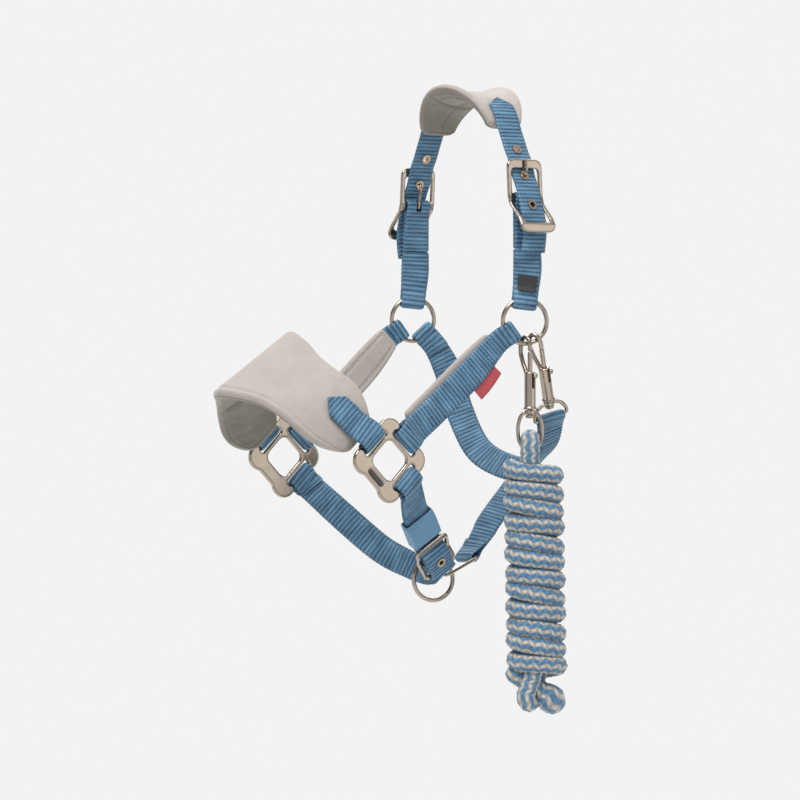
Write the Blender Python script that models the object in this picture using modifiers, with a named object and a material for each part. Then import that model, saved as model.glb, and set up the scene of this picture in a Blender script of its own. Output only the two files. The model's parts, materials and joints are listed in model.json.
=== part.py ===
"""Padded pony headcollar with its lead rope, shown as worn on a head that is not there.

World frame: +Z up, -X towards the nose, -Y the near side, +Y the far side.
The origin is the middle of the poll pad's underside, where the halter rests on the head.
Every length below is in millimetres; MM turns it into metres when a mesh is made.
"""
import math

import bmesh
import bpy
from mathutils import Matrix, Vector

MM = 0.001
GAP = 0.35                      # clear space between pieces that touch on the real halter

# Webbing
WEB_WIDTH = 20.0
WEB_THICK = 1.7
TAPE_THICK = 0.9
LAYER_OFFSET = WEB_THICK / 2 + 0.2      # each layer of a doubled strap, from its middle line
HOLE_HALF = 2.6                 # half the square cut for an eyelet or a tongue
PLAIN_COLUMNS = (-10.0, 0.0, 10.0)
CUPPED_COLUMNS = (-10.0, -5.0, 0.0, 5.0, 10.0)
HOLED_COLUMNS = (-10.0, -HOLE_HALF, 0.0, HOLE_HALF, 10.0)

# Poll pad: an elliptical arch over the poll
POLL_HALF_SPAN = 37.0
POLL_RISE = 24.0
POLL_END_ANGLE = math.radians(84)
POLL_HALF_WIDTH_MIDDLE = 26.0
POLL_HALF_WIDTH_END = 14.5
POLL_FLARE = 9.0

# Padding layers, from the head outwards
LINING_THICK = 2.0
FOAM_THICK = 2.4
COVER_THICK = 2.0
PAD_GAP = 0.8
PAD_THICK = LINING_THICK + FOAM_THICK + COVER_THICK + 2 * PAD_GAP

CHEEK_PAD_THICK = 4.2
CHEEK_PAD_HALF = 12.0           # half its width
CHEEK_PAD_MIDDLE = 1.2          # its middle line lies above the strap's
CHEEK_PAD_START = 7.5           # from the ring, along the strap
NOSE_FAR_TUCK = 10.0            # how far the pad's far front edge is pushed back
SIDE_TAG_HEIGHT = -186.0        # of the strap's middle line at the tag's reference point
SIDE_TAG_ABOVE = 13.0           # how far the tag runs from there towards the ring, and away from it
SIDE_TAG_BELOW = 12.0
SIDE_TAG_EDGES = (10.4, 14.5, 18.5)

# Contour buckle on each crown strap
BAR_OUT = 66.0                  # centre bar, outboard of the middle of the head
BAR_HEIGHT = -69.0
BAR_RADIUS = 1.3
BUCKLE_HALF_WIDTH = 14.5
BUCKLE_TOP = 26.5               # above the centre bar
BUCKLE_BOTTOM = -24.5
BUCKLE_THICK = 2.6
BUCKLE_LEAN_IN = 1.5            # top bar, inboard of the centre bar
BUCKLE_STAND_OUT = 15.2         # bottom bar, outboard of the centre bar
TONGUE_RADIUS = 1.1

# Rings
RING_RADIUS = 15.35             # middle of the wire
RING_WIRE = 1.65
CHEEK_AT = -142                 # degrees round a side ring where the cheek strap leaves it
NEAR_RING = Vector((-2.5, -69.0, -154.0))
FAR_RING = Vector((-1.5, 69.0, -150.5))
RING_ACROSS = Vector((0.906, -0.423, 0.0))     # horizontal line in the plane of both side rings
CHIN_RING_RADIUS = 14.4
CHIN_RING_WIRE = 1.6

# Square fittings, in the XZ plane, standing on a corner
NEAR_FITTING = Vector((-112.5, -66.0, -248.5))
FAR_FITTING = Vector((-112.5, 66.0, -247.5))
FITTING_THICK = 3.2
FITTING_BAR_EDGE = 20.8         # outer edge of the thin bars
FITTING_BAR_WIDTH = 2.8
FITTING_BAR = FITTING_BAR_EDGE - FITTING_BAR_WIDTH / 2
FITTING_WRAP = 2.3              # clear radius of a strap's fold round a thin bar
FITTING_EAR = 13.5              # centre of each rounded corner
FITTING_EAR_RADIUS = 9.6
FITTING_HOLE = 11.0             # half the central hole
SLOT_HALF = 11.0
SLOT_INNER = 14.0
PLAQUE_AT = 16.0
PLAQUE_HALF_LENGTH = 7.6
PLAQUE_HALF_WIDTH = 1.9
PLAQUE_DEPTH = 0.9

# Chin buckle: L runs down the near chin strap, A across it, N out of it
CHIN_ENTRY = Vector((-57.4, -35.5, -307.2))
CHIN_DOWN = Vector((0.606, 0.447, -0.658)).normalized()
CHIN_ACROSS = Vector((0.785, -0.194, 0.590)).normalized()
CHIN_OUT = CHIN_DOWN.cross(CHIN_ACROSS).normalized()
CHIN_BAR_AT = 12.5
CHIN_BAR_DIP = 2.5
CHIN_BUCKLE_END = 25.0
CHIN_STRAP_DEPTH = -6.2         # middle of the doubled near strap
CHIN_TONGUE_RADIUS = 1.0
KEEPER_LENGTH = 22.0
KEEPER_HALF_WIDTH = 10.7        # inside
KEEPER_WALL = 1.1
KEEPER_TAPER = 2.2              # how far its front drops at the end away from the buckle
CHIN_TONGUE_HOOK = 3.1
CHIN_RING = Vector((-41.3, -14.7, -332.0))
CHIN_RING_ACROSS = Vector((0.970, -0.242, 0.0))

# Rectangular connector ring: the middles of its upper and lower bars
LINK_HIGH = Vector((-9.4, -9.5, -317.4))
LINK_LOW = Vector((-34.6, -9.5, -328.8))
LINK_HALF_WIDTH = 12.5
LINK_WIRE = 1.3

# Snaps, measured from the top of the barrel
BORE_RADIUS = 2.05
BOLT_REST_DEPTH = -22.6         # bottom of the bore
KNOB_HEIGHT = -2.5
HOOK_RADIUS = 1.65
HOOK_REACH = 4.5                # from the barrel's axis to the ring wire it holds
RING_IN_HOOK = 19.5             # height of that ring wire
EYE_WIRE = 1.4
LEAD_SNAP_AT = -88              # degrees round the near ring
LEAD_SNAP_SIDE = Vector((0.13, -0.99, 0.0)).normalized()
THROAT_SNAP_AT = -62
THROAT_SNAP_SIDE = Vector((0.33, -0.93, -0.08)).normalized()
THROAT_BAR = Vector((26.3, -60.0, -219.7))      # the throat snap's eye, where the strap folds
THROAT_BAR_ALONG = Vector((0.95, -0.18, 0.26)).normalized()

# Lead rope; its hank is wider across the view than it is deep
VIEW_ACROSS = Vector((0.829, -0.559, 0.0))
VIEW_DEEP = Vector((0.559, 0.829, 0.0))
ROPE_RADIUS = 6.65
LOOP_ROPE_RADIUS = 6.0
ROPE_TOP = -247.6
HANK_TOP = -248.0
HANK_BOTTOM = -404.0
HANK_TOP_AT = Vector((0.9, -74.0, 0.0))
HANK_BOTTOM_AT = Vector((4.2, -74.0, 0.0))
HANK_HALF_WIDTH = 21.0
HANK_HALF_DEPTH = 18.5
BIGHT_AT = Vector((-5.9, -74.0, -409.0))
KNOT_AT = Vector((20.4, -77.0, -415.5))
KNOT_HALF_WIDTH = 10.5
KNOT_HALF_DEPTH = 8.5
KNOT_HALF_HEIGHT = 10.5

COLOURS = {
    "webbing": ((0.075, 0.200, 0.330, 1), 0.75, 0.0),
    "velvet": ((0.560, 0.500, 0.455, 1), 0.90, 0.0),
    "lining": ((0.360, 0.320, 0.280, 1), 0.90, 0.0),
    "foam": ((0.780, 0.760, 0.700, 1), 0.95, 0.0),
    "metal": ((0.560, 0.500, 0.420, 1), 0.22, 1.0),
    "plaque": ((0.020, 0.018, 0.016, 1), 0.40, 0.0),
    "rope": ((0.160, 0.290, 0.430, 1), 0.85, 0.0),
    "size_label": ((0.010, 0.010, 0.012, 1), 0.70, 0.0),
    "side_tag": ((0.420, 0.040, 0.060, 1), 0.70, 0.0),
}


# ---------------------------------------------------------------- scene and materials

def clear_scene():
    for obj in list(bpy.data.objects):
        bpy.data.objects.remove(obj, do_unlink=True)


def make_collection(name):
    collection = bpy.data.collections.new(name)
    bpy.context.scene.collection.children.link(collection)
    return collection


def make_materials():
    made = {}
    for name, (colour, roughness, metallic) in COLOURS.items():
        material = bpy.data.materials.new(name)
        material.use_nodes = True
        shader = material.node_tree.nodes["Principled BSDF"]
        shader.inputs["Base Color"].default_value = colour
        shader.inputs["Roughness"].default_value = roughness
        shader.inputs["Metallic"].default_value = metallic
        made[name] = material
    return made


clear_scene()
HALTER = make_collection("padded_headcollar")
CUTTERS = make_collection("cutters")
MATERIALS = make_materials()


def add_object(name, data, material):
    obj = bpy.data.objects.new(name, data)
    HALTER.objects.link(obj)
    data.materials.append(MATERIALS[material])
    return obj


def add_helper(name, data):
    """An operand of a Boolean, kept out of the model."""
    obj = bpy.data.objects.new(name, data)
    CUTTERS.objects.link(obj)
    obj.hide_render = True
    obj.display_type = 'WIRE'
    return obj


def boolean(obj, helper, operation):
    modifier = obj.modifiers.new(helper.name, 'BOOLEAN')
    modifier.operation = operation
    modifier.solver = 'EXACT'
    modifier.object = helper


def frame_matrix(origin, x_axis, z_axis):
    """Metres matrix whose Z is z_axis and whose X is x_axis made square to it."""
    z_axis = z_axis.normalized()
    x_axis = (x_axis - z_axis * x_axis.dot(z_axis)).normalized()
    y_axis = z_axis.cross(x_axis)
    turn = Matrix((x_axis, y_axis, z_axis)).transposed().to_4x4()
    return Matrix.Translation(origin * MM) @ turn


# ---------------------------------------------------------------- smooth lines

def catmull(points, steps):
    """Points along the smooth curve through the given vectors."""
    line = []
    last = len(points) - 1
    for i in range(last):
        before = points[max(i - 1, 0)]
        start, end = points[i], points[i + 1]
        after = points[min(i + 2, last)]
        for step in range(steps):
            t = step / steps
            line.append(0.5 * (2 * start + (end - before) * t
                               + (2 * before - 5 * start + 4 * end - after) * t ** 2
                               + (3 * start - before - 3 * end + after) * t ** 3))
    line.append(points[last].copy())
    return line


def ease(value):
    value = min(max(value, 0.0), 1.0)
    return value * value * (3 - 2 * value)


class Route:
    """The middle line of a strap, with the direction across it at every point."""

    def __init__(self, points, across):
        self.points = catmull([Vector(p) for p in points], 12)
        self.across = catmull([Vector(a) for a in across], 12)
        self.lengths = [0.0]
        for a, b in zip(self.points, self.points[1:]):
            self.lengths.append(self.lengths[-1] + (b - a).length)
        self.length = self.lengths[-1]

    def at(self, length):
        """Point, along, across and outward vectors at a length; past an end it runs straight on."""
        inside = min(max(length, 0.0), self.length)
        i = 0
        while i < len(self.lengths) - 2 and self.lengths[i + 1] < inside:
            i += 1
        t = (inside - self.lengths[i]) / (self.lengths[i + 1] - self.lengths[i])
        before, after = max(i - 1, 0), min(i + 2, len(self.points) - 1)
        along = (self.points[after] - self.points[before]).normalized()
        point = self.points[i].lerp(self.points[i + 1], t) + along * (length - inside)
        across = self.across[i].lerp(self.across[i + 1], t)
        scale = across.length
        across = (across - along * across.dot(along)).normalized()
        return point, along, across * scale, along.cross(across).normalized()

    def length_at_height(self, height):
        for (a, b), length in zip(zip(self.points, self.points[1:]), self.lengths):
            if (a.z - height) * (b.z - height) <= 0:
                return length + (a - b).length * (a.z - height) / (a.z - b.z)
        return 0.0


# ---------------------------------------------------------------- webbing

class Fold:
    """How a strap's end wraps a bar: the wrap's radius, the ring's radius if the bar is curved,
    the length of the layer behind, and how far the wrap stays open before the layers close."""

    def __init__(self, bar_radius, ring_radius=0.0, back=14.0, hold=0.0):
        spare = 0.7 if ring_radius else 0.0
        self.radius = bar_radius + spare + GAP + WEB_THICK / 2
        self.ring_radius = ring_radius
        self.back = back
        self.hold = hold


def layer_rows(route, start, stop, side, folds, marks=()):
    """Rows of one layer from one length to another, swelling to meet the fold at each end."""
    count = max(2, round(abs(stop - start) / 7.0))
    lengths = [start + (stop - start) * i / count for i in range(count + 1)]
    for mark in marks:
        lengths = [s for s in lengths if abs(s - mark) > HOLE_HALF + 1.2]
        lengths += [mark - HOLE_HALF, mark + HOLE_HALF]
    lengths.sort(reverse=stop < start)
    rows = []
    for length in lengths:
        point, along, across, out = route.at(length)
        offset = LAYER_OFFSET if folds[0] and folds[1] else 0.0
        pull = Vector()
        for fold, distance, sign in ((folds[0], length, -1), (folds[1], route.length - length, 1)):
            if fold:
                if offset == 0.0:
                    offset = LAYER_OFFSET * ease((fold.back + 16.0 - distance) / 8.0)
                offset += (fold.radius - LAYER_OFFSET) * ease(1 - (distance - fold.hold) / 9.0)
                if fold.ring_radius:
                    pull = pull + along * sign * ease(1 - distance / 12.0)
        rows.append((point + out * offset * side, across, pull))
    return rows


def fold_rows(route, fold, at_end, side):
    """Half a turn round the bar, from one layer to the other."""
    length = route.length if at_end else 0.0
    point, along, across, out = route.at(length)
    away = along if at_end else -along
    rows = []
    for step in range(1, 6):
        angle = math.pi * step / 6
        shift = out * math.cos(angle) * side + away * math.sin(angle)
        pull = away if fold.ring_radius else Vector()
        rows.append((point + shift * fold.radius, across, pull))
    return rows


def strap_rows(route, folds, marks=()):
    """Back layer, fold, front layer, fold, back layer: whatever of these the strap has."""
    rows = []
    start, end = folds
    if start:
        rows += layer_rows(route, start.back, 0.0, -1, folds)
        rows += fold_rows(route, start, False, -1)
    rows += layer_rows(route, 0.0, route.length, 1, folds, marks)
    if end:
        rows += fold_rows(route, end, True, 1)
        rows += layer_rows(route, route.length, route.length - end.back, -1, folds)
    return rows


def point_end(rows, index, neighbour, reach):
    """Cut an end row to a centred point, like the end of a sewn tab."""
    point, across, pull = rows[index]
    forward = (point - rows[neighbour][0]).normalized()
    rows[index] = (point, across, forward * reach)


def webbing(name, rows, columns, ring_radius=0.0, tip_row=None, holes=(), material="webbing"):
    """A grid laid along the rows, thickened into webbing; holes are (row, column) faces left out."""
    mesh = bpy.data.meshes.new(name)
    bm = bmesh.new()
    last_row, last_column = len(rows) - 1, len(columns) - 1
    bmesh.ops.create_grid(bm, x_segments=last_row, y_segments=last_column, size=0.5)
    for vertex in bm.verts:
        row = round((vertex.co.x + 0.5) * last_row)
        column = round((vertex.co.y + 0.5) * last_column)
        offset = columns[column]
        point, across, pull = rows[row]
        if row == tip_row:
            amount = 1 - abs(offset) / (WEB_WIDTH / 2)
        elif ring_radius:
            reach = WEB_WIDTH / 2 * (2 + across.length) / 3
            amount = ring_radius - math.sqrt(ring_radius ** 2 - reach ** 2)
        else:
            amount = 0.0
        vertex.co = (point + across * offset + pull * amount) * MM
        vertex.index = row * (last_column + 1) + column
    unwanted = []
    for face in bm.faces:
        lowest = min(v.index for v in face.verts)
        if divmod(lowest, last_column + 1) in holes:
            unwanted.append(face)
    bmesh.ops.delete(bm, geom=unwanted, context='FACES')
    bm.to_mesh(mesh)
    bm.free()
    thicken(add_object(name, mesh, material), WEB_THICK if material == "webbing" else TAPE_THICK, 0.0)


def thicken(obj, thickness, offset):
    solidify = obj.modifiers.new("thickness", 'SOLIDIFY')
    solidify.thickness = thickness * MM
    solidify.offset = offset
    solidify.use_even_offset = True


def hole_faces(rows, route, marks):
    """The two middle columns' faces between the rows that bracket each mark."""
    faces = []
    for mark in marks:
        target = route.at(mark - HOLE_HALF)[0]
        nearest = min(range(len(rows)), key=lambda i: (rows[i][0] - target).length)
        faces += [(nearest, 1), (nearest, 2)]
    return faces


def slot_faces(rows, bar, reach):
    """Middle faces of the fold round a bar, cut away so that the tongue can swing there."""
    near = [i for i, row in enumerate(rows[:-1])
            if ((row[0] + rows[i + 1][0]) / 2 - bar).length < reach]
    return [(i, column) for i in near for column in (1, 2)]


# ---------------------------------------------------------------- wires, rings and eyelets

def wire_data(name, points, radius, cyclic=False, resolution=2):
    curve = bpy.data.curves.new(name, 'CURVE')
    curve.dimensions = '3D'
    curve.bevel_depth = radius * MM
    curve.bevel_resolution = resolution
    curve.use_fill_caps = True
    spline = curve.splines.new('POLY')
    spline.points.add(len(points) - 1)
    for target, point in zip(spline.points, points):
        target.co = (*(point * MM), 1.0)
    spline.use_cyclic_u = cyclic
    return curve


def to_mesh(curve, name, weld=1e-6):
    """A curve's welded mesh; the curve itself goes."""
    carrier = bpy.data.objects.new(name + "_curve", curve)
    bpy.context.scene.collection.objects.link(carrier)
    graph = bpy.context.evaluated_depsgraph_get()
    mesh = bpy.data.meshes.new_from_object(carrier.evaluated_get(graph))
    mesh.name = name
    bpy.data.objects.remove(carrier, do_unlink=True)
    bm = bmesh.new()
    bm.from_mesh(mesh)
    bmesh.ops.remove_doubles(bm, verts=bm.verts, dist=weld)
    bmesh.ops.recalc_face_normals(bm, faces=bm.faces)
    bm.to_mesh(mesh)
    bm.free()
    mesh.materials.clear()
    return mesh


def wire(name, points, radius, cyclic=False, resolution=2):
    mesh = to_mesh(wire_data(name, points, radius, cyclic, resolution), name)
    mesh.shade_smooth()
    return mesh


def ring(name, centre, across, radius, wire_radius):
    """A round ring standing in the vertical plane that holds across."""
    bpy.ops.mesh.primitive_torus_add(major_segments=32, minor_segments=10,
                                     major_radius=radius * MM, minor_radius=wire_radius * MM)
    made = bpy.context.object
    mesh = made.data
    bpy.data.objects.remove(made, do_unlink=True)
    mesh.shade_smooth()
    obj = add_object(name, mesh, "metal")
    normal = Vector((0, 0, 1)).cross(across)
    obj.matrix_world = frame_matrix(centre, across, normal)
    return obj


def lathe(name, profile, steps, closed):
    """A solid turned about Z from (radius, height) points; an open profile ends on the axis."""
    mesh = bpy.data.meshes.new(name)
    bm = bmesh.new()
    verts = [bm.verts.new((radius * MM, 0, height * MM)) for radius, height in profile]
    pairs = list(zip(verts, verts[1:]))
    if closed:
        pairs.append((verts[-1], verts[0]))
    edges = [bm.edges.new(pair) for pair in pairs]
    bmesh.ops.spin(bm, geom=verts + edges, cent=(0, 0, 0), axis=(0, 0, 1), angle=2 * math.pi,
                   steps=steps, use_merge=True)
    bmesh.ops.remove_doubles(bm, verts=bm.verts, dist=1e-6)
    bmesh.ops.recalc_face_normals(bm, faces=bm.faces)
    bm.to_mesh(mesh)
    bm.free()
    return mesh


EYELET_PROFILE = [(3.5, 1.7), (3.5, 1.2), (2.3, 1.2), (2.3, -1.2),
                  (3.5, -1.2), (3.5, -1.7), (1.9, -1.7), (1.9, 1.7)]


def eyelet(name, route, mark):
    obj = add_object(name, lathe(name, EYELET_PROFILE, 14, True), "metal")
    point, along, across, out = route.at(mark)
    obj.matrix_world = frame_matrix(point, across, out)


# ---------------------------------------------------------------- flat outlines

def arc(centre_x, centre_y, radius, start, stop, count):
    """Points on an arc, angles in degrees."""
    points = []
    for i in range(count + 1):
        angle = math.radians(start + (stop - start) * i / count)
        points.append((centre_x + radius * math.cos(angle), centre_y + radius * math.sin(angle)))
    return points


def rounded_box(left, right, bottom, top, radius, count=3, spacing=0.0):
    """A rounded rectangle, counter-clockwise, with extra points along its sides for bending."""
    corners = (arc(right - radius, top - radius, radius, 0, 90, count),
               arc(left + radius, top - radius, radius, 90, 180, count),
               arc(left + radius, bottom + radius, radius, 180, 270, count),
               arc(right - radius, bottom + radius, radius, 270, 360, count))
    points = []
    for i, corner in enumerate(corners):
        points += corner
        a, b = corner[-1], corners[(i + 1) % 4][0]
        length = math.hypot(b[0] - a[0], b[1] - a[1])
        extra = int(length / spacing) if spacing else 0
        for j in range(1, extra):
            t = j / extra
            points.append((a[0] + (b[0] - a[0]) * t, a[1] + (b[1] - a[1]) * t))
    return points


def plate(name, outlines, thickness, edge):
    """A flat plate with holes: the first outline is the outside, the rest are cut through."""
    curve = bpy.data.curves.new(name, 'CURVE')
    curve.dimensions = '2D'
    curve.fill_mode = 'BOTH'
    curve.extrude = (thickness / 2 - edge) * MM
    curve.bevel_depth = edge * MM
    curve.bevel_resolution = 0
    curve.offset = -edge * MM
    for outline in outlines:
        spline = curve.splines.new('POLY')
        spline.points.add(len(outline) - 1)
        for target, (x, y) in zip(spline.points, outline):
            target.co = (x * MM, y * MM, 0, 1)
        spline.use_cyclic_u = True
    return to_mesh(curve, name)


# ---------------------------------------------------------------- pads

def poll_surface(u, v, depth):
    """Point of the poll pad: u -1 near to 1 far, v -1 front to 1 rear, depth out of the head."""
    angle = u * POLL_END_ANGLE
    half_width = POLL_HALF_WIDTH_END
    half_width += (POLL_HALF_WIDTH_MIDDLE - POLL_HALF_WIDTH_END) * math.cos(u * math.pi / 2) ** 1.5
    out = Vector((0, POLL_RISE * math.sin(angle), POLL_HALF_SPAN * math.cos(angle))).normalized()
    point = Vector((v * half_width, POLL_HALF_SPAN * math.sin(angle),
                    POLL_RISE * (math.cos(angle) - 1)))
    flare = POLL_FLARE * max(abs(v) - 0.2, 0) ** 2 * math.cos(u * math.pi / 2)
    corner = 2.2 * abs(v) ** 4 * u * abs(u) ** 9
    along = Vector((0, -math.cos(angle) * POLL_HALF_SPAN,
                    math.sin(angle) * POLL_RISE)).normalized()
    return point + out * (depth + flare) + along * corner


# Near half of the nose pad's inner face, from the bridge of the nose to the fitting
NOSE_FRONT = [(-203.5, 0, -208.4), (-200.6, -12, -209.6), (-195.5, -24, -211.8),
              (-190.8, -36, -216.0), (-184.5, -47, -223.5), (-176, -53, -232.8),
              (-165, -55.4, -239.5), (-152, -54.9, -243.0), (-142, -53.0, -242.5)]
NOSE_REAR = [(-143.1, 0, -165.5), (-140.6, -11, -173), (-139.0, -23, -183), (-134, -36, -192.0),
             (-129, -46, -198), (-126.3, -51.5, -205), (-124.6, -53.8, -212),
             (-123.7, -54.2, -219), (-123.5, -53.0, -225)]


def nose_point(u, v):
    """Point of the inner face: u -1 near to 1 far, v -1 front to 1 rear."""
    front = NOSE_FRONT_LINE.at(abs(u) * NOSE_FRONT_LINE.length)[0]
    rear = NOSE_REAR_LINE.at(abs(u) * NOSE_REAR_LINE.length)[0]
    point = front.lerp(rear, (v + 1) / 2)
    if u <= 0:
        return Vector((point.x, -abs(point.y), point.z))
    tuck = NOSE_FAR_TUCK * math.sin(math.pi * min(u, 1.0)) ** 2 * (1 - v) / 2
    return Vector((point.x + tuck, abs(point.y), point.z))


def nose_surface(u, v, depth):
    """Point of the nose pad at a depth out of the head."""
    along = nose_point(u + 0.03, v) - nose_point(u - 0.03, v)
    edge_to_edge = nose_point(u, 1) - nose_point(u, -1)
    return nose_point(u, v) + edge_to_edge.cross(along).normalized() * depth


def layer_sheet(name, surface, depth, thickness, inset, rows, columns, material):
    """One padding layer, thickened outwards from its own depth."""
    mesh = bpy.data.meshes.new(name)
    bm = bmesh.new()
    bmesh.ops.create_grid(bm, x_segments=rows, y_segments=columns, size=0.5)
    for vertex in bm.verts:
        u = vertex.co.x * 2 * (1 - inset)
        v = vertex.co.y * 2 * (1 - 2 * inset)
        vertex.co = surface(u, v, depth + thickness / 2) * MM
    bm.to_mesh(mesh)
    bm.free()
    mesh.shade_smooth()
    obj = add_object(name, mesh, material)
    thicken(obj, thickness, 0.0)


def layered_pad(prefix, surface, rows, columns):
    foam_depth = LINING_THICK + PAD_GAP
    cover_depth = foam_depth + FOAM_THICK + PAD_GAP
    layer_sheet(prefix + "_lining", surface, 0.0, LINING_THICK, 0.0, rows, columns, "lining")
    layer_sheet(prefix + "_foam", surface, foam_depth, FOAM_THICK, 0.04, rows, columns, "foam")
    layer_sheet(prefix + "_cover", surface, cover_depth, COVER_THICK, 0.0, rows, columns, "velvet")


# ---------------------------------------------------------------- crown straps and buckles

# Middle line of a crown strap: (outboard, height), from its sewn point to its square end
CROWN_LINE = [(37.2, -3.4), (40.6, -7.0), (44.3, -13.3), (47.4, -20.5), (51.3, -28),
              (55.4, -36), (59.6, -42.6), (62.0, -48.8), (64.0, -54.2), (68.2, -61.5),
              (71.4, -69), (73.6, -76), (75.9, -83), (77.4, -89.5), (77.0, -97), (75.2, -107)]
CROWN_EYELETS = (-36.0, -54.2, -74.5)


def side_name(side):
    return "near" if side < 0 else "far"


def on_side(side, forward, outboard, height):
    return Vector((forward, side * outboard, height))


def crown_route(side):
    across = Vector((1, 0, 0)) * -side
    points = [on_side(side, 0, out, height) for out, height in CROWN_LINE]
    return Route(points, [across] * len(points))


def crown_strap(side):
    route = crown_route(side)
    marks = [route.length_at_height(height) for height in CROWN_EYELETS]
    rows = strap_rows(route, (None, None), marks)
    holes = hole_faces(rows, route, marks)
    point_end(rows, 0, 1, 6.0)
    webbing(side_name(side) + "_crown_strap", rows, HOLED_COLUMNS, tip_row=0, holes=holes)
    for number, mark in enumerate(marks, 1):
        eyelet(f"{side_name(side)}_eyelet_{number}", route, mark)


def buckle_bend(height):
    """How far the frame stands out from its centre bar at a height above it."""
    if height > 0:
        return -BUCKLE_LEAN_IN * height / 23.0
    return BUCKLE_STAND_OUT * ease(-height / 20.0)


def contour_buckle(side):
    """A two-window frame with a flat top bar and a flat bottom bar that stands outboard."""
    half = BUCKLE_HALF_WIDTH
    outlines = [rounded_box(-half, half, BUCKLE_BOTTOM, BUCKLE_TOP, 5.5, 4, 4.5),
                rounded_box(-11.2, 11.2, BAR_RADIUS, 20.0, 2.5, 2, 4.5),
                rounded_box(-11.2, 11.2, -17.5, -BAR_RADIUS, 2.5, 2, 4.5)]
    name = side_name(side) + "_buckle_frame"
    mesh = plate(name, outlines, BUCKLE_THICK, 0.6)
    for vertex in mesh.vertices:
        across, height, depth = vertex.co / MM
        vertex.co = (across * MM, -(depth + buckle_bend(height)) * MM, height * MM)
    obj = add_object(name, mesh, "metal")
    bar = on_side(side, 0, BAR_OUT, BAR_HEIGHT)
    obj.matrix_world = frame_matrix(bar, Vector((-side, 0, 0)), Vector((0, 0, 1)))


# Tongue beyond its hook, as (outboard of the bar, above the bar)
TONGUE_LINE = [(-2.8, 3.0), (-4.2, 7.5), (-4.9, 11.2), (-4.4, 13.7), (-2.0, 14.8), (0.6, 15.9),
               (1.7, 19.0), (1.6, 23.4), (1.3, 26.6)]


def tongue_points():
    hook = [Vector((-2.75 * math.cos(math.radians(a)), 0, 2.75 * math.sin(math.radians(a))))
            for a in range(-150, 1, 30)]
    rod = catmull([hook[-1]] + [Vector((out, 0, up)) for out, up in TONGUE_LINE], 3)
    return hook[:-1] + rod


def buckle_tongue(side):
    """Rod hooked round the centre bar from behind, through the eyelet, tip on the top bar."""
    name = side_name(side) + "_tongue"
    points = [Vector((0, -p.x, p.z)) for p in tongue_points()]
    obj = add_object(name, wire(name, points, TONGUE_RADIUS), "metal")
    bar = on_side(side, 0, BAR_OUT, BAR_HEIGHT)
    obj.matrix_world = frame_matrix(bar, Vector((-side, 0, 0)), Vector((0, 0, 1)))


def billet(side):
    """Doubled webbing from the buckle's centre bar to the side ring."""
    ring_top = (NEAR_RING if side < 0 else FAR_RING) + Vector((0, 0, RING_RADIUS))
    bar = on_side(side, 0, BAR_OUT, BAR_HEIGHT)
    points = [bar, on_side(side, 0, 66.6, -80), on_side(side, 0, 67.6, -97),
              on_side(side, 0, 68.6, -118), ring_top]
    start = Vector((1, 0, 0)) * -side
    end = RING_ACROSS * -side
    across = [start, start, start.lerp(end, 0.35), start.lerp(end, 0.8), end * 0.83]
    route = Route(points, across)
    half = route.length / 2 - 0.6
    folds = (Fold(BAR_RADIUS + 0.45, back=half), Fold(RING_WIRE, RING_RADIUS, half))
    rows = strap_rows(route, folds)
    slot = slot_faces(rows, bar, 4.8)
    webbing(side_name(side) + "_billet", rows, HOLED_COLUMNS, RING_RADIUS, holes=slot)
    return route, folds


# ---------------------------------------------------------------- fittings

SLOT_ANGLES = {"nose": 135, "cheek": 45, "chin": -45}


def fitting_outline():
    """Rounded ears at the four corners, joined by straight bars; square axes of the fitting."""
    points = []
    reach = math.degrees(math.acos((FITTING_BAR_EDGE - FITTING_EAR) / FITTING_EAR_RADIUS))
    for corner in range(4):
        turn = math.radians(90 * corner)
        for x, y in arc(FITTING_EAR, FITTING_EAR, FITTING_EAR_RADIUS, -reach, 90 + reach, 9):
            points.append((x * math.cos(turn) - y * math.sin(turn),
                           x * math.sin(turn) + y * math.cos(turn)))
    return points


def turn_outline(points, degrees):
    c, s = math.cos(math.radians(degrees)), math.sin(math.radians(degrees))
    return [(x * c - y * s, x * s + y * c) for x, y in points]


def slot_outline(angle):
    inner = FITTING_BAR_EDGE - FITTING_BAR_WIDTH
    return turn_outline(rounded_box(SLOT_INNER, inner, -SLOT_HALF, SLOT_HALF, 1.3, 2), angle)


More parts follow.
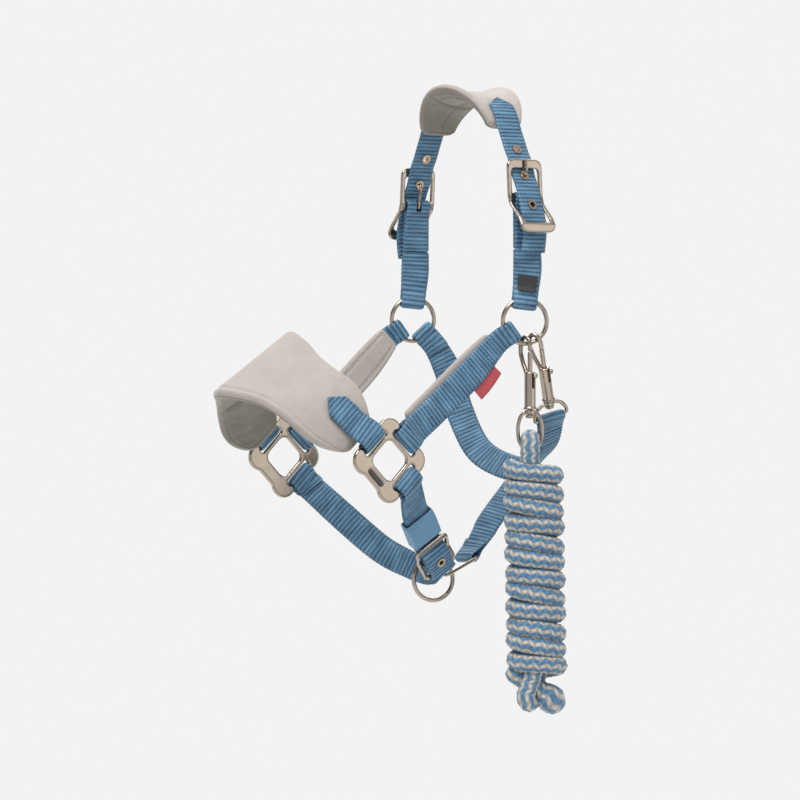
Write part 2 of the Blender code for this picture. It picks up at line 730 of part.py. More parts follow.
def square_fitting(side):
    """Flat casting with a rounded square hole, three webbing slots and a recess for its plaque."""
    centre = NEAR_FITTING if side < 0 else FAR_FITTING
    name = side_name(side) + "_fitting"
    hole = rounded_box(-FITTING_HOLE, FITTING_HOLE, -FITTING_HOLE, FITTING_HOLE, 5.0, 4)
    outlines = [turn_outline(fitting_outline(), 45), turn_outline(hole, 45)]
    outlines += [slot_outline(angle) for angle in SLOT_ANGLES.values()]
    mesh = plate(name, outlines, FITTING_THICK, 0.6)
    obj = add_object(name, mesh, "metal")
    matrix = frame_matrix(centre, Vector((1, 0, 0)), Vector((0, -1, 0)))
    obj.matrix_world = matrix
    face = FITTING_THICK / 2 * -side
    pocket = rounded_box(PLAQUE_AT - PLAQUE_HALF_WIDTH, PLAQUE_AT + PLAQUE_HALF_WIDTH,
                         -PLAQUE_HALF_LENGTH, PLAQUE_HALF_LENGTH, 1.8, 4)
    cutter = add_helper(name + "_recess", plate(name + "_recess", [turn_outline(pocket, -135)],
                                                2 * PLAQUE_DEPTH, 0.05))
    cutter.matrix_world = matrix @ Matrix.Translation((0, 0, face * MM))
    boolean(obj, cutter, 'DIFFERENCE')
    slip = rounded_box(PLAQUE_AT - PLAQUE_HALF_WIDTH + GAP, PLAQUE_AT + PLAQUE_HALF_WIDTH - GAP,
                       GAP - PLAQUE_HALF_LENGTH, PLAQUE_HALF_LENGTH - GAP, 1.5, 3)
    plaque_mesh = plate(side_name(side) + "_plaque", [turn_outline(slip, -135)], 0.4, 0.08)
    plaque = add_object(side_name(side) + "_plaque", plaque_mesh, "plaque")
    depth = face + side * (PLAQUE_DEPTH - GAP - 0.2)
    plaque.matrix_world = matrix @ Matrix.Translation((0, 0, depth * MM))


def slot_bar(side, slot):
    """Middle of a slot's outer bar, the way out through it, and the line along it."""
    centre = NEAR_FITTING if side < 0 else FAR_FITTING
    angle = math.radians(SLOT_ANGLES[slot])
    out = Vector((math.cos(angle), 0, math.sin(angle)))
    return centre + out * FITTING_BAR, out, Vector((-out.z, 0, out.x))


# ---------------------------------------------------------------- cheek pieces

def ring_exit(centre, degrees, radius=RING_RADIUS):
    """Point on a side ring's wire, the way out from its centre, and the wire's own direction."""
    angle = math.radians(degrees)
    up = Vector((0, 0, 1))
    out = RING_ACROSS * math.cos(angle) + up * math.sin(angle)
    return centre + out * radius, out, RING_ACROSS * -math.sin(angle) + up * math.cos(angle)


def cheek_route(side):
    ring_centre = NEAR_RING if side < 0 else FAR_RING
    top, top_out, top_across = ring_exit(ring_centre, CHEEK_AT)
    low, low_out, low_across = slot_bar(side, "cheek")
    points = [top, top + top_out * 10, top.lerp(low, 0.35) + Vector((0, side * 0.5, 0)),
              top.lerp(low, 0.7), low + low_out * 10, low]
    start = top_across * -side
    end = low_across * side
    if start.dot(end) < 0:
        end = -end
    gather = (0.72, 0.80, 1.0, 1.0, 1.0, 1.0)
    return Route(points, [start.lerp(end, i / 5) * g for i, g in enumerate(gather)])


def cheek(side):
    """Cheek strap folded round ring and fitting, over its own narrow pad."""
    route = cheek_route(side)
    folds = (Fold(RING_WIRE, RING_RADIUS, 13.0), Fold(FITTING_WRAP, back=12.0, hold=3.5))
    rows = strap_rows(route, folds)
    webbing(side_name(side) + "_cheek_strap", rows, CUPPED_COLUMNS, RING_RADIUS)
    start, stop = CHEEK_PAD_START, route.length - 12.0

    def surface(u, v, depth):
        length = start + (stop - start) * (u + 1) / 2
        point, along, across, out = route.at(length)
        rounding = along * abs(v) ** 6 * abs(u) ** 12 * math.copysign(3.0, -u)
        upward = across * side * (CHEEK_PAD_MIDDLE + CHEEK_PAD_HALF * v)
        return point - out * (2 * LAYER_OFFSET + WEB_THICK / 2 + GAP + depth) + upward + rounding

    layer_sheet(side_name(side) + "_cheek_pad", surface, 0.0, CHEEK_PAD_THICK, 0.0, 10, 3, "velvet")
    return route, folds


# ---------------------------------------------------------------- nose tabs

# Where each tab lies on the nose pad, from the fitting to its sewn end
NOSE_TAB_STATIONS = ((0.85, 0.17), (0.775, 0.14), (0.70, 0.11))


def facing(points, normals):
    """Directions across a strap whose face looks along each of the normals."""
    across = []
    for i, normal in enumerate(normals):
        along = points[min(i + 1, len(points) - 1)] - points[max(i - 1, 0)]
        across.append(Vector(normal).cross(along).normalized())
    return across


def nose_tab(side):
    """Pointed tab on the nose pad, folded round the fitting's upper front bar."""
    bar, out, _ = slot_bar(side, "nose")
    sideways = Vector((0, side, 0))
    lift = PAD_THICK + GAP + WEB_THICK / 2 + 1.0
    points = [bar, bar + out * 5 + sideways * 1.4]
    points += [nose_surface(side * u, v, lift) for u, v in NOSE_TAB_STATIONS]
    normals = [sideways, sideways]
    normals += [nose_surface(side * u, v, 1) - nose_surface(side * u, v, 0)
                for u, v in NOSE_TAB_STATIONS]
    route = Route(points, facing(points, normals))
    rows = strap_rows(route, (Fold(FITTING_WRAP, back=2.0, hold=3.5), None))
    point_end(rows, len(rows) - 1, len(rows) - 2, 9.0)
    webbing(side_name(side) + "_nose_tab", rows, PLAIN_COLUMNS, tip_row=len(rows) - 1)


# ---------------------------------------------------------------- labels

def tape_on(name, route, folds, start, stop, columns, lift, material):
    """A short piece of folded tape lying along a strap."""
    rows = layer_rows(route, start, stop, 1, folds)
    moved = []
    for i, (point, across, _) in enumerate(rows):
        length = start + (stop - start) * i / (len(rows) - 1)
        moved.append((point + route.at(length)[3] * lift, across, Vector()))
    webbing(name, moved, columns, material=material)


# ---------------------------------------------------------------- chin

def chin_point(down, out, across=0.0):
    return CHIN_ENTRY + CHIN_DOWN * down + CHIN_OUT * out + CHIN_ACROSS * across


def chin_bend(down):
    """The centre bar lies behind the plane of the two end bars."""
    return -CHIN_BAR_DIP * ease(1 - abs(down - CHIN_BAR_AT) / 10.0)


def chin_buckle():
    outlines = [rounded_box(-14, 14, -CHIN_BUCKLE_END - 2.2, 2.2, 4.0, 4, 3.0),
                rounded_box(-11, 11, 1.6 - CHIN_BAR_AT, -2.0, 1.5, 2, 3.0),
                rounded_box(-11, 11, 2.2 - CHIN_BUCKLE_END, -CHIN_BAR_AT - 1.6, 1.5, 2, 3.0)]
    mesh = plate("chin_buckle_frame", outlines, BUCKLE_THICK, 0.6)
    for vertex in mesh.vertices:
        vertex.co.z += chin_bend(-vertex.co.y / MM) * MM
    obj = add_object("chin_buckle_frame", mesh, "metal")
    obj.matrix_world = frame_matrix(CHIN_ENTRY, CHIN_ACROSS, CHIN_OUT)


def chin_tongue():
    """Rod hooked round the centre bar, lying on the head's side of the strap's end."""
    hook = []
    for degrees in range(30, 271, 30):
        angle = math.radians(degrees)
        hook.append(Vector((-CHIN_TONGUE_HOOK * math.cos(angle), CHIN_TONGUE_HOOK * math.sin(angle))))
    line = [Vector((0, -p.x, p.y)) for p in hook]
    line += [Vector((0, -down, out)) for down, out in ((4, -3.1), (7.6, -3.0), (11.2, -2.6))]
    obj = add_object("chin_tongue", wire("chin_tongue", line, CHIN_TONGUE_RADIUS), "metal")
    obj.matrix_world = frame_matrix(chin_point(CHIN_BAR_AT, -CHIN_BAR_DIP), CHIN_ACROSS, CHIN_OUT)


def near_chin_strap():
    """Doubled webbing from the near fitting to the chin buckle's centre bar."""
    start, out, across = slot_bar(-1, "chin")
    bar = chin_point(CHIN_BAR_AT, -CHIN_BAR_DIP)
    middle = start.lerp(chin_point(-28, CHIN_STRAP_DEPTH), 0.5) + Vector((0, -1.5, 0))
    points = [start, start + out * 5, middle, chin_point(-28, CHIN_STRAP_DEPTH),
              chin_point(-14, CHIN_STRAP_DEPTH), chin_point(0, CHIN_STRAP_DEPTH), bar]
    first = across if across.dot(CHIN_ACROSS) > 0 else -across
    route = Route(points, [first, first, first.lerp(CHIN_ACROSS, 0.5)] + [CHIN_ACROSS] * 4)
    half = route.length / 2 - 0.6
    rows = strap_rows(route, (Fold(FITTING_WRAP, back=half, hold=3.5), Fold(1.75, back=half)))
    slot = slot_faces(rows, bar, 4.8)
    webbing("near_chin_strap", rows, HOLED_COLUMNS, holes=slot)


def far_chin_strap():
    """Webbing from the far fitting under the chin, its punched end threaded through the buckle."""
    start, out, across = slot_bar(1, "chin")
    bend = [(-81.5, 48.5, -284.0), (-57.1, 28, -311.2), (-44.0, 8, -323.0), (-39.5, -8, -329.2),
            (-39.6, -18.8, -329.1)]
    tail = [(28.8, 3.1), (25, 3.6), (19.0, 4.1), (14.8, 4.15), (10.2, 4.15), (5.6, 1.1),
            (3.3, -1.9), (0, -3.0), (-4, -2.7), (-20, -2.5)]
    points = [start, start + out * 6, start + out * 11 + Vector((0, -2.5, 0))]
    points += [Vector(p) for p in bend]
    points += [chin_point(down, depth) for down, depth in tail]
    first = across if across.z > 0 else -across
    far = Vector((0.37, -0.32, 0.86))
    bent = CHIN_ACROSS.lerp(far, 0.5)
    across = [-first, -first, -first, -far, -far, -far * 0.95, -bent * 0.82, -bent * 0.82]
    across += [-CHIN_ACROSS] * len(tail)
    route = Route(points, across)
    mark = min((m / 4 for m in range(int(route.length * 4))),
               key=lambda m: (route.at(m)[0] - points[len(bend) + 6]).length)
    rows = strap_rows(route, (Fold(FITTING_WRAP, back=13.0, hold=3.5), None), [mark])
    webbing("far_chin_strap", rows, HOLED_COLUMNS, holes=hole_faces(rows, route, [mark]))
    eyelet("chin_eyelet", route, mark)


def keeper():
    """Smooth tape loop round both chin straps; its front closes down where the strap's end stops."""
    back, front = -CHIN_STRAP_DEPTH + 2.65, 1.2
    half = KEEPER_HALF_WIDTH
    wall = KEEPER_WALL
    outlines = [rounded_box(-half - wall, half + wall, front - wall, back + wall, 1.5, 3, 5.0),
                rounded_box(-half, half, front, back, 0.6, 2, 5.0)]
    mesh = bpy.data.meshes.new("chin_keeper")
    bm = bmesh.new()
    bm.from_mesh(plate("chin_keeper_plate", outlines, KEEPER_LENGTH, 0.3))
    long_edges = [e for e in bm.edges
                  if abs(e.verts[0].co.z - e.verts[1].co.z) > KEEPER_LENGTH / 2 * MM]
    bmesh.ops.subdivide_edges(bm, edges=long_edges, cuts=5, use_grid_fill=True)
    for vertex in bm.verts:
        share = vertex.co.z / (KEEPER_LENGTH * MM) + 0.5
        if vertex.co.y < (front + 1.0) * MM:
            vertex.co.y += KEEPER_TAPER * ease((share - 0.78) / 0.22) * MM
    bm.to_mesh(mesh)
    bm.free()
    obj = add_object("chin_keeper", mesh, "webbing")
    obj.matrix_world = frame_matrix(chin_point(-15.0, 0), CHIN_ACROSS, -CHIN_DOWN)


def link():
    """Rectangular wire ring between the connector strap and the chin ring."""
    down = LINK_LOW - LINK_HIGH
    outline = rounded_box(0, down.length, -LINK_HALF_WIDTH, LINK_HALF_WIDTH, 1.9, 4)
    points = [Vector((x, y, 0)) for x, y in outline]
    obj = add_object("connector_ring", wire("connector_ring", points, LINK_WIRE, True), "metal")
    obj.matrix_world = frame_matrix(LINK_HIGH, down, down.cross(Vector((0, 1, 0))))


# ---------------------------------------------------------------- snaps

def cylinder(name, start, end, radius, steps=16):
    """A capped cylinder between two points."""
    axis = end - start
    mesh = lathe(name, [(0, 0), (radius, 0), (radius, axis.length), (0, axis.length)], steps, False)
    side = Vector((1, 0, 0)) if abs(axis.x) < 0.9 * axis.length else Vector((0, 1, 0))
    mesh.transform(frame_matrix(start, side, axis))
    return mesh


def block(name, low, high):
    corners = [Vector((x, y, z)) for x in (low[0], high[0]) for y in (low[1], high[1])
               for z in (low[2], high[2])]
    mesh = bpy.data.meshes.new(name)
    bm = bmesh.new()
    bmesh.ops.convex_hull(bm, input=[bm.verts.new(c * MM) for c in corners])
    bmesh.ops.recalc_face_normals(bm, faces=bm.faces)
    bm.to_mesh(mesh)
    bm.free()
    return mesh


BODY_PROFILE = [(0, 0), (3.4, 0), (3.9, -0.6), (3.9, -24), (4.6, -24.3), (4.6, -25.6),
                (1.6, -25.6), (1.6, -29.4), (3.2, -29.4), (3.2, -31), (2.4, -31.6), (0, -31.6)]
BOLT_PROFILE = [(0, 14.2), (1.2, 14.2), (1.7, 13.5), (1.7, -16), (0, -16)]
HOOK_LINE = [(-2.9, -6), (-3.3, -1), (-6.4, 5), (-9.2, 13), (-9.1, 19), (-7.6, 22.6), (-4.5, 24.2),
             (-1.3, 22.4), (0, 18.5), (0, 14.6)]
COLLAR_PROFILE = [(3.7, -26), (3.7, -29), (1.95, -29), (1.95, -26)]


def snap_body(name, matrix):
    """Hook, slotted barrel and swivel post in one piece."""
    body = add_object(name, lathe(name, BODY_PROFILE, 20, False), "metal")
    hook = catmull([Vector((x, 0, z)) for x, z in HOOK_LINE], 2)
    parts = ((add_helper(name + "_hook", wire(name + "_hook", hook, HOOK_RADIUS)), 'UNION'),
             (add_helper(name + "_bore", cylinder(name + "_bore", Vector((0, 0, BOLT_REST_DEPTH)),
                                                  Vector((0, 0, 3)), BORE_RADIUS)), 'DIFFERENCE'),
             (add_helper(name + "_slot", block(name + "_slot", (0, -1.35, -11), (5, 1.35, -1.2))),
              'DIFFERENCE'))
    body.matrix_world = matrix
    for helper, operation in parts:
        helper.matrix_world = matrix
        boolean(body, helper, operation)


def snap_bolt(name, matrix):
    """Sliding bolt with its thumb knob."""
    bolt = add_object(name, lathe(name, BOLT_PROFILE, 16, False), "metal")
    knob = lathe(name + "_knob", [(0, 0), (1, 0), (1, 4.5), (1.9, 4.9), (1.9, 5.9), (1.4, 6.5),
                                  (0, 6.5)], 12, False)
    knob.transform(frame_matrix(Vector((0, 0, KNOB_HEIGHT)), Vector((0, 0, 1)), Vector((1, 0, 0))))
    helper = add_helper(name + "_knob", knob)
    bolt.matrix_world = matrix
    helper.matrix_world = matrix
    boolean(bolt, helper, 'UNION')


def snap_eye(name, matrix, line):
    """Swivel collar and the wire loop that hangs from it; line is the loop's right half."""
    eye = add_object(name, lathe(name, COLLAR_PROFILE, 20, True), "metal")
    right = [Vector((x, 0, z)) for x, z in line]
    left = [Vector((-p.x, 0, p.z)) for p in reversed(right)]
    loop = catmull(right + (left[1:] if right[-1].x == 0 else left), 2)
    helper = add_helper(name + "_loop", wire(name + "_loop", loop, EYE_WIRE))
    eye.matrix_world = matrix
    helper.matrix_world = matrix
    boolean(eye, helper, 'UNION')


LEAD_EYE_LINE = [(3.6, -27.5), (6.2, -30), (7.9, -35), (8.3, -41), (7.4, -47.5), (4.4, -52.2),
                 (0, -53.8)]


def throat_eye_line(bar_depth):
    return [(3.6, -27.5), (8.5, -29.5), (11.9, bar_depth + 4.8), (12.6, bar_depth + 1.8),
            (11.8, bar_depth), (5, bar_depth)]


def lead_snap():
    wire_point = ring_exit(NEAR_RING, LEAD_SNAP_AT)[0]
    top = wire_point + LEAD_SNAP_SIDE * HOOK_REACH - Vector((0, 0, RING_IN_HOOK))
    matrix = frame_matrix(top, LEAD_SNAP_SIDE, Vector((0, 0, 1)))
    snap_body("lead_snap_body", matrix)
    snap_bolt("lead_snap_bolt", matrix)
    snap_eye("lead_snap_eye", frame_matrix(top, VIEW_ACROSS, Vector((0, 0, 1))), LEAD_EYE_LINE)
    return wire_point, top


def hang_from(point, names):
    """An empty on the swing axis, with everything that swings under it."""
    pivot = bpy.data.objects.new("lead_swing_axis", None)
    HALTER.objects.link(pivot)
    pivot.location = point * MM
    for name in names:
        obj = bpy.data.objects[name]
        obj.parent = pivot
        obj.matrix_parent_inverse = Matrix.Translation(-point * MM)


def throat_snap():
    wire_point = ring_exit(NEAR_RING, THROAT_SNAP_AT)[0]
    seat = wire_point + THROAT_SNAP_SIDE * HOOK_REACH
    upward = (seat - THROAT_BAR).normalized()
    top = seat - upward * RING_IN_HOOK
    matrix = frame_matrix(top, THROAT_SNAP_SIDE, upward)
    snap_body("throat_snap_body", matrix)
    snap_bolt("throat_snap_bolt", matrix)
    snap_eye("throat_snap_eye", frame_matrix(top, THROAT_BAR_ALONG, upward),
             throat_eye_line(-(top - THROAT_BAR).length))


# ---------------------------------------------------------------- throat and connector straps

def strap_route(points, across, gather, outside):
    """Route whose face looks towards outside at its start; gather narrows it."""
    points = [Vector(p) for p in points]
    across = [Vector(a).normalized() * g for a, g in zip(across, gather)]
    route = Route(points, across)
    if route.at(0)[3].dot(outside) < 0:
        route = Route(points, [-a for a in across])
    return route


def throat_strap():
    start, out, tangent = ring_exit(FAR_RING, -50)
    start_across = tangent if tangent.z > 0 else -tangent
    gather = (0.80, 0.86, 1, 1, 1, 1, 1, 1, 1)
    points = [start, start + out * 12, (22.2, 57, -190), (27.0, 52, -214.7), (29.3, 32, -242),
              (36.2, 8, -254.0), (38.4, -18, -255.0), (35.5, -42, -242.5), THROAT_BAR]
    across = [start_across, start_across, (0.72, -0.33, 0.61), (0.707, -0.33, 0.63), (0.6, 0, 0.75),
              (0.56, 0, 0.80), (0.60, 0, 0.78), (0.80, -0.1, 0.55), THROAT_BAR_ALONG]
    route = strap_route(points, across, gather, Vector((0, 1, 0)))
    folds = (Fold(RING_WIRE, RING_RADIUS, 13.0), Fold(EYE_WIRE + 0.15, back=12.0))
    webbing("throat_strap", strap_rows(route, folds), CUPPED_COLUMNS, RING_RADIUS)
    return route


def connector_strap(throat):
    """Webbing sewn on the outside of the throat strap and folded round the connector ring."""
    length = min(range(int(throat.length)),
                 key=lambda i: (throat.at(i)[0] - Vector((37.5, -5, -255))).length)
    point, along, across, out = throat.at(length)
    up = across if across.z > 0 else -across
    seat = point + out * (LAYER_OFFSET + WEB_THICK + GAP)
    points = [seat + up * 6, seat - up * 4, seat - up * 13, seat.lerp(LINK_HIGH, 0.6), LINK_HIGH]
    middle = Vector((-0.36, 0.91, 0.21))
    width = [along, along, along.lerp(-middle, 0.5), -middle, Vector((0, -1, 0))]
    route = strap_route(points, width, [1.0] * 5, out)
    folds = (None, Fold(LINK_WIRE + 0.3, back=14.0))
    webbing("connector_strap", strap_rows(route, folds), PLAIN_COLUMNS)


# ---------------------------------------------------------------- lead rope

def rope_loop(eye_top):
    """The rope's turn through the swivel eye."""
    centre = eye_top + Vector((0, 0, LEAD_EYE_LINE[-1][1]))
    radius = EYE_WIRE + GAP + LOOP_ROPE_RADIUS
    points = [centre + VIEW_DEEP * -radius + Vector((0, 0, ROPE_TOP - centre.z))]
    for step in range(9):
        angle = math.radians(180 - 22.5 * step)
        points.append(centre + VIEW_DEEP * math.cos(angle) * radius
                      + Vector((0, 0, math.sin(angle) * radius)))
    points.append(centre + VIEW_DEEP * radius + Vector((0, 0, ROPE_TOP - centre.z)))
    add_object("lead_rope_loop", wire("lead_rope_loop", points, LOOP_ROPE_RADIUS, False, 3), "rope")


def rope_hank():
    """Twelve turns wrapped round the rope's own core."""
    count = 12
    pitch = (HANK_TOP - HANK_BOTTOM) / count
    profile = [(0, HANK_TOP)]
    for turn in range(count):
        top = HANK_TOP - pitch * turn
        profile += [(0.88, top - 0.04 * pitch), (1.0, top - 0.3 * pitch), (1.0, top - 0.7 * pitch),
                    (0.88, top - 0.96 * pitch)]
    profile.append((0, HANK_BOTTOM))
    mesh = lathe("lead_rope_hank", profile, 18, False)
    add_object("lead_rope_hank", mesh, "rope")
    for vertex in mesh.vertices:
        x, y, z = vertex.co
        shift = (HANK_TOP - z / MM) / (HANK_TOP - HANK_BOTTOM)
        centre = HANK_TOP_AT.lerp(HANK_BOTTOM_AT, shift)
        spot = centre + VIEW_ACROSS * (x / MM * HANK_HALF_WIDTH)
        spot += VIEW_DEEP * (y / MM * HANK_HALF_DEPTH)
        vertex.co = (spot.x * MM, spot.y * MM, z)


def rope_ends():
    """The bight at the lower left and the knotted end at the lower right of the hank."""
    low = HANK_BOTTOM - 0.4 - GAP
    points = [BIGHT_AT - VIEW_ACROSS * ROPE_RADIUS]
    for step in range(7):
        angle = math.radians(180 + 30 * step)
        points.append(BIGHT_AT + VIEW_ACROSS * math.cos(angle) * ROPE_RADIUS
                      + Vector((0, 0, math.sin(angle) * 6.0)))
    points.append(BIGHT_AT + VIEW_ACROSS * ROPE_RADIUS)
    for point, height in ((points[0], low), (points[-1], low)):
        point.z = height
    add_object("lead_rope_bight", wire("lead_rope_bight", points, ROPE_RADIUS - 0.3, False, 3),
               "rope")
    profile = [(0, 1.0), (0.5, 0.87), (0.87, 0.5), (1.0, 0.0), (0.87, -0.5), (0.5, -0.87), (0, -1.0)]
    knot = lathe("lead_rope_knot", profile, 16, False)
    obj = add_object("lead_rope_knot", knot, "rope")
    squash = Matrix.Diagonal((KNOT_HALF_WIDTH, KNOT_HALF_DEPTH, KNOT_HALF_HEIGHT, 1.0))
    knot.transform(squash)
    obj.matrix_world = frame_matrix(KNOT_AT, VIEW_ACROSS, Vector((0, 0, 1)))


# ---------------------------------------------------------------- build

NOSE_FRONT_LINE = Route(NOSE_FRONT, [Vector((0, 0, 1))] * len(NOSE_FRONT))
NOSE_REAR_LINE = Route(NOSE_REAR, [Vector((0, 0, 1))] * len(NOSE_REAR))

layered_pad("poll_pad", poll_surface, 17, 5)
layered_pad("nose_pad", nose_surface, 22, 5)
for halter_side in (-1, 1):
    crown_strap(halter_side)
    contour_buckle(halter_side)
    buckle_tongue(halter_side)
    square_fitting(halter_side)
    nose_tab(halter_side)
billet(1)
near_billet_route, near_billet_folds = billet(-1)
cheek(1)
near_cheek_route, near_cheek_folds = cheek(-1)
tape_on("size_label", near_billet_route, near_billet_folds, near_billet_route.length - 16.0,
        near_billet_route.length - 5.0, (-7.3, 0.0, 7.3), WEB_THICK / 2 + GAP + TAPE_THICK,
        "size_label")
tag_start = near_cheek_route.length_at_height(SIDE_TAG_HEIGHT)
tape_on("side_tag", near_cheek_route, near_cheek_folds, tag_start - SIDE_TAG_ABOVE,
        tag_start + SIDE_TAG_BELOW, SIDE_TAG_EDGES, 0.0, "side_tag")
ring("near_ring", NEAR_RING, RING_ACROSS, RING_RADIUS, RING_WIRE)
ring("far_ring", FAR_RING, RING_ACROSS, RING_RADIUS, RING_WIRE)
ring("chin_ring", CHIN_RING, CHIN_RING_ACROSS, CHIN_RING_RADIUS, CHIN_RING_WIRE)
chin_buckle()
chin_tongue()
near_chin_strap()
far_chin_strap()
keeper()
link()
lead_pivot, eye_top = lead_snap()
throat_snap()
connector_strap(throat_strap())
rope_loop(eye_top)
rope_hank()
rope_ends()
hang_from(lead_pivot, ("lead_snap_body", "lead_snap_bolt", "lead_snap_eye", "lead_rope_loop",
                       "lead_rope_hank", "lead_rope_bight", "lead_rope_knot"))
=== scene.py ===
"""Looks of a padded pony headcollar with its lead rope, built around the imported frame.

World frame as in the model: +Z up, -X towards the nose, -Y the near side, +Y the far side.
Lengths below are in millimetres unless a name says otherwise; MM turns them into metres.
"""
import json
import math

import bmesh
import bpy
import numpy as np
from mathutils import Matrix, Vector


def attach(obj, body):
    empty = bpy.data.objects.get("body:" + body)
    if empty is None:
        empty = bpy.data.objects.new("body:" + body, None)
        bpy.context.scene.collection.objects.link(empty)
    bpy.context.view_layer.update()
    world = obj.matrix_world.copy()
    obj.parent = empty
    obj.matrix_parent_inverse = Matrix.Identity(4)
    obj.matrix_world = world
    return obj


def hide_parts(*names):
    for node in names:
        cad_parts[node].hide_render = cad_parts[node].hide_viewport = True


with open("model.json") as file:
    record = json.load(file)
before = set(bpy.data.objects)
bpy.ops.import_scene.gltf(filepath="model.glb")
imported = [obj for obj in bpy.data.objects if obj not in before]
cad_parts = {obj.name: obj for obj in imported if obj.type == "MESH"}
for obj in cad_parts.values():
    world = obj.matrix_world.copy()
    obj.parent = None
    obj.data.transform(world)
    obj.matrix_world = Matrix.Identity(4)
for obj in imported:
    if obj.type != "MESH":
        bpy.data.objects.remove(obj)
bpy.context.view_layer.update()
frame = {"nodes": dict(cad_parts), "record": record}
MM = 0.001

# Webbing
WEB_WIDTH = 20.0
WEB_THICK = 1.7
TAPE_THICK = 0.9
TAPE_RIBS = 0.03
GAP = 0.35
LAYER_OFFSET = WEB_THICK / 2 + 0.2
LAYER_STEP = 2.5                # length of one row of a layer
FOLD_EASE = 9.0                 # a layer opens to its fold over this length
FOLD_STEPS = 8
RING_EASE = 12.0                # and bends to a ring's curve over this one
TAIL_REACH = 16.0               # beyond its folded tail a single layer sinks back to the middle,
TAIL_EASE = 8.0                 # over this length
RIB_PITCH = 2.85
RIB_HEIGHT = 0.17
ROWS_PER_RIB = 6
ROW_STEP = RIB_PITCH / ROWS_PER_RIB
HOLE_RADIUS = 2.3
SLOT_HALF_WIDTH = 2.4

# Hardware positions, as in the model
RING_RADIUS = 15.35
RING_WIRE = 1.65
NEAR_RING = Vector((-2.5, -69.0, -154.0))
FAR_RING = Vector((-1.5, 69.0, -150.5))
RING_ACROSS = Vector((0.906, -0.423, 0.0))
CHEEK_AT = -142                 # degrees round the ring
CHEEK_GATHER = (0.72, 0.80, 1.0, 1.0, 1.0, 1.0)
BAR_OUT = 66.0
BAR_HEIGHT = -69.0
BAR_RADIUS = 1.3
NEAR_FITTING = Vector((-112.5, -66.0, -248.5))
FAR_FITTING = Vector((-112.5, 66.0, -247.5))
FITTING_BAR = 19.4
FITTING_WRAP = 2.3
FITTING_HOLD = 3.5
SLOT_ANGLES = {"nose": 135, "cheek": 45, "chin": -45}
CHIN_ENTRY = Vector((-57.4, -35.5, -307.2))
CHIN_DOWN = Vector((0.606, 0.447, -0.658)).normalized()
CHIN_ACROSS = Vector((0.785, -0.194, 0.590)).normalized()
CHIN_OUT = CHIN_DOWN.cross(CHIN_ACROSS).normalized()
CHIN_BAR_AT = 12.5
CHIN_BAR_DIP = 2.5
CHIN_STRAP_DEPTH = -6.2
LINK_HIGH = Vector((-9.4, -9.5, -317.4))
LINK_WIRE = 1.3
EYE_WIRE = 1.4
THROAT_BAR = Vector((26.3, -60.0, -219.7))
THROAT_BAR_ALONG = Vector((0.95, -0.18, 0.26)).normalized()
SIDE_TAG_HEIGHT = -186.0
SIDE_TAG_RUN = (-13.0, 12.0)     # along the strap, from that height

# Pads
PAD_DEPTH = 8.0
STITCH_DEPTH = 1.0              # border stitching, in from a pad's face
POLL_HALF_SPAN = 37.0
POLL_RISE = 24.0
POLL_END_ANGLE = math.radians(84)
POLL_HALF_WIDTH_MIDDLE = 26.0
POLL_HALF_WIDTH_END = 14.5
POLL_FLARE = 9.0
CHEEK_PAD_THICK = 4.2
CHEEK_PAD_HALF = 12.0
CHEEK_PAD_MIDDLE = 1.2
CHEEK_PAD_START = 7.5
NOSE_FAR_TUCK = 10.0             # how far the pad's far front edge is pushed back
BORDER_SEAM = 4.6               # border stitching, in from a pad's edge
BORDER_SINK = 1.1
BORDER_SPREAD = 0.9
SEAM_SINK = 1.9                 # quilting seams
SEAM_SPREAD = 1.3
SEWN_SINK = 0.75                # points sunk deeper than this are held by the stitching
EDGE_ROUND = 4.2
POLL_SIZE = (92.0, 46.0)        # round the arch, front to rear
POLL_GRID = (88, 44)
NOSE_SIZE = (166.0, 66.0)
NOSE_GRID = (144, 56)
CHEEK_GRID = (60, 20)
PAD_SWELL = 1.6                 # furthest that the filling pushes the cloth
PAD_PRESSURE = 4.0
PAD_STEPS = 20

# Lead rope
VIEW_ACROSS = Vector((0.829, -0.559, 0.0))
VIEW_DEEP = Vector((0.559, 0.829, 0.0))
ROPE_RADIUS = 6.65
ROPE_TURNS = 12
ROPE_STEP = 0.9
ROPE_SMOOTHING = 4              # rounds
ROPE_SEGMENTS = 64
START_ROUNDING = 5.5
END_ROUNDING = 11.0
KNOT_SWELL = 0.58
KNOT_MIDDLE = 13.5              # from the rope's end
KNOT_SPREAD = 8.5
ROPE_STRANDS = 12
STRAND_WAVE = 6.7               # length of a strand's zigzag
STRAND_SWING = 0.36             # how far a strand swings sideways, in strand widths
STRAND_TWIST = 0.006            # and how far round the rope it creeps for each millimetre
STRAND_RELIEF = 0.75
BLUE = (0.080, 0.215, 0.370)
SAND = (0.500, 0.470, 0.415)
EYE_AXIS = Vector((-1.43, -73.69, 0.0))
EYE_BOTTOM = -242.6
EYE_LOOP_RADIUS = 8.4
CORE_ASIDE = 4.0                # each core strand, to its side of the hank's axis
CORE_HEIGHTS_DOWN = (-262, -280, -300, -320, -340, -360, -380)
CORE_HEIGHTS_UP = (-392, -370, -350, -330, -310, -290, -272)
BIGHT_CENTRE = Vector((-3.6, -75.5, -409.0))
BIGHT_HALF_HEIGHT = 6.0
WRAP_TOP = -255.0
WRAP_BOTTOM = -397.0
WRAP_HALF_WIDTH = 14.5
WRAP_HALF_DEPTH = 12.2
WRAP_STEPS = 16
HANK_TOP = Vector((0.9, -74.0, -248.0))
HANK_HEIGHT = 156.0
HANK_LEAN = 3.3                 # forward shift of the hank's foot
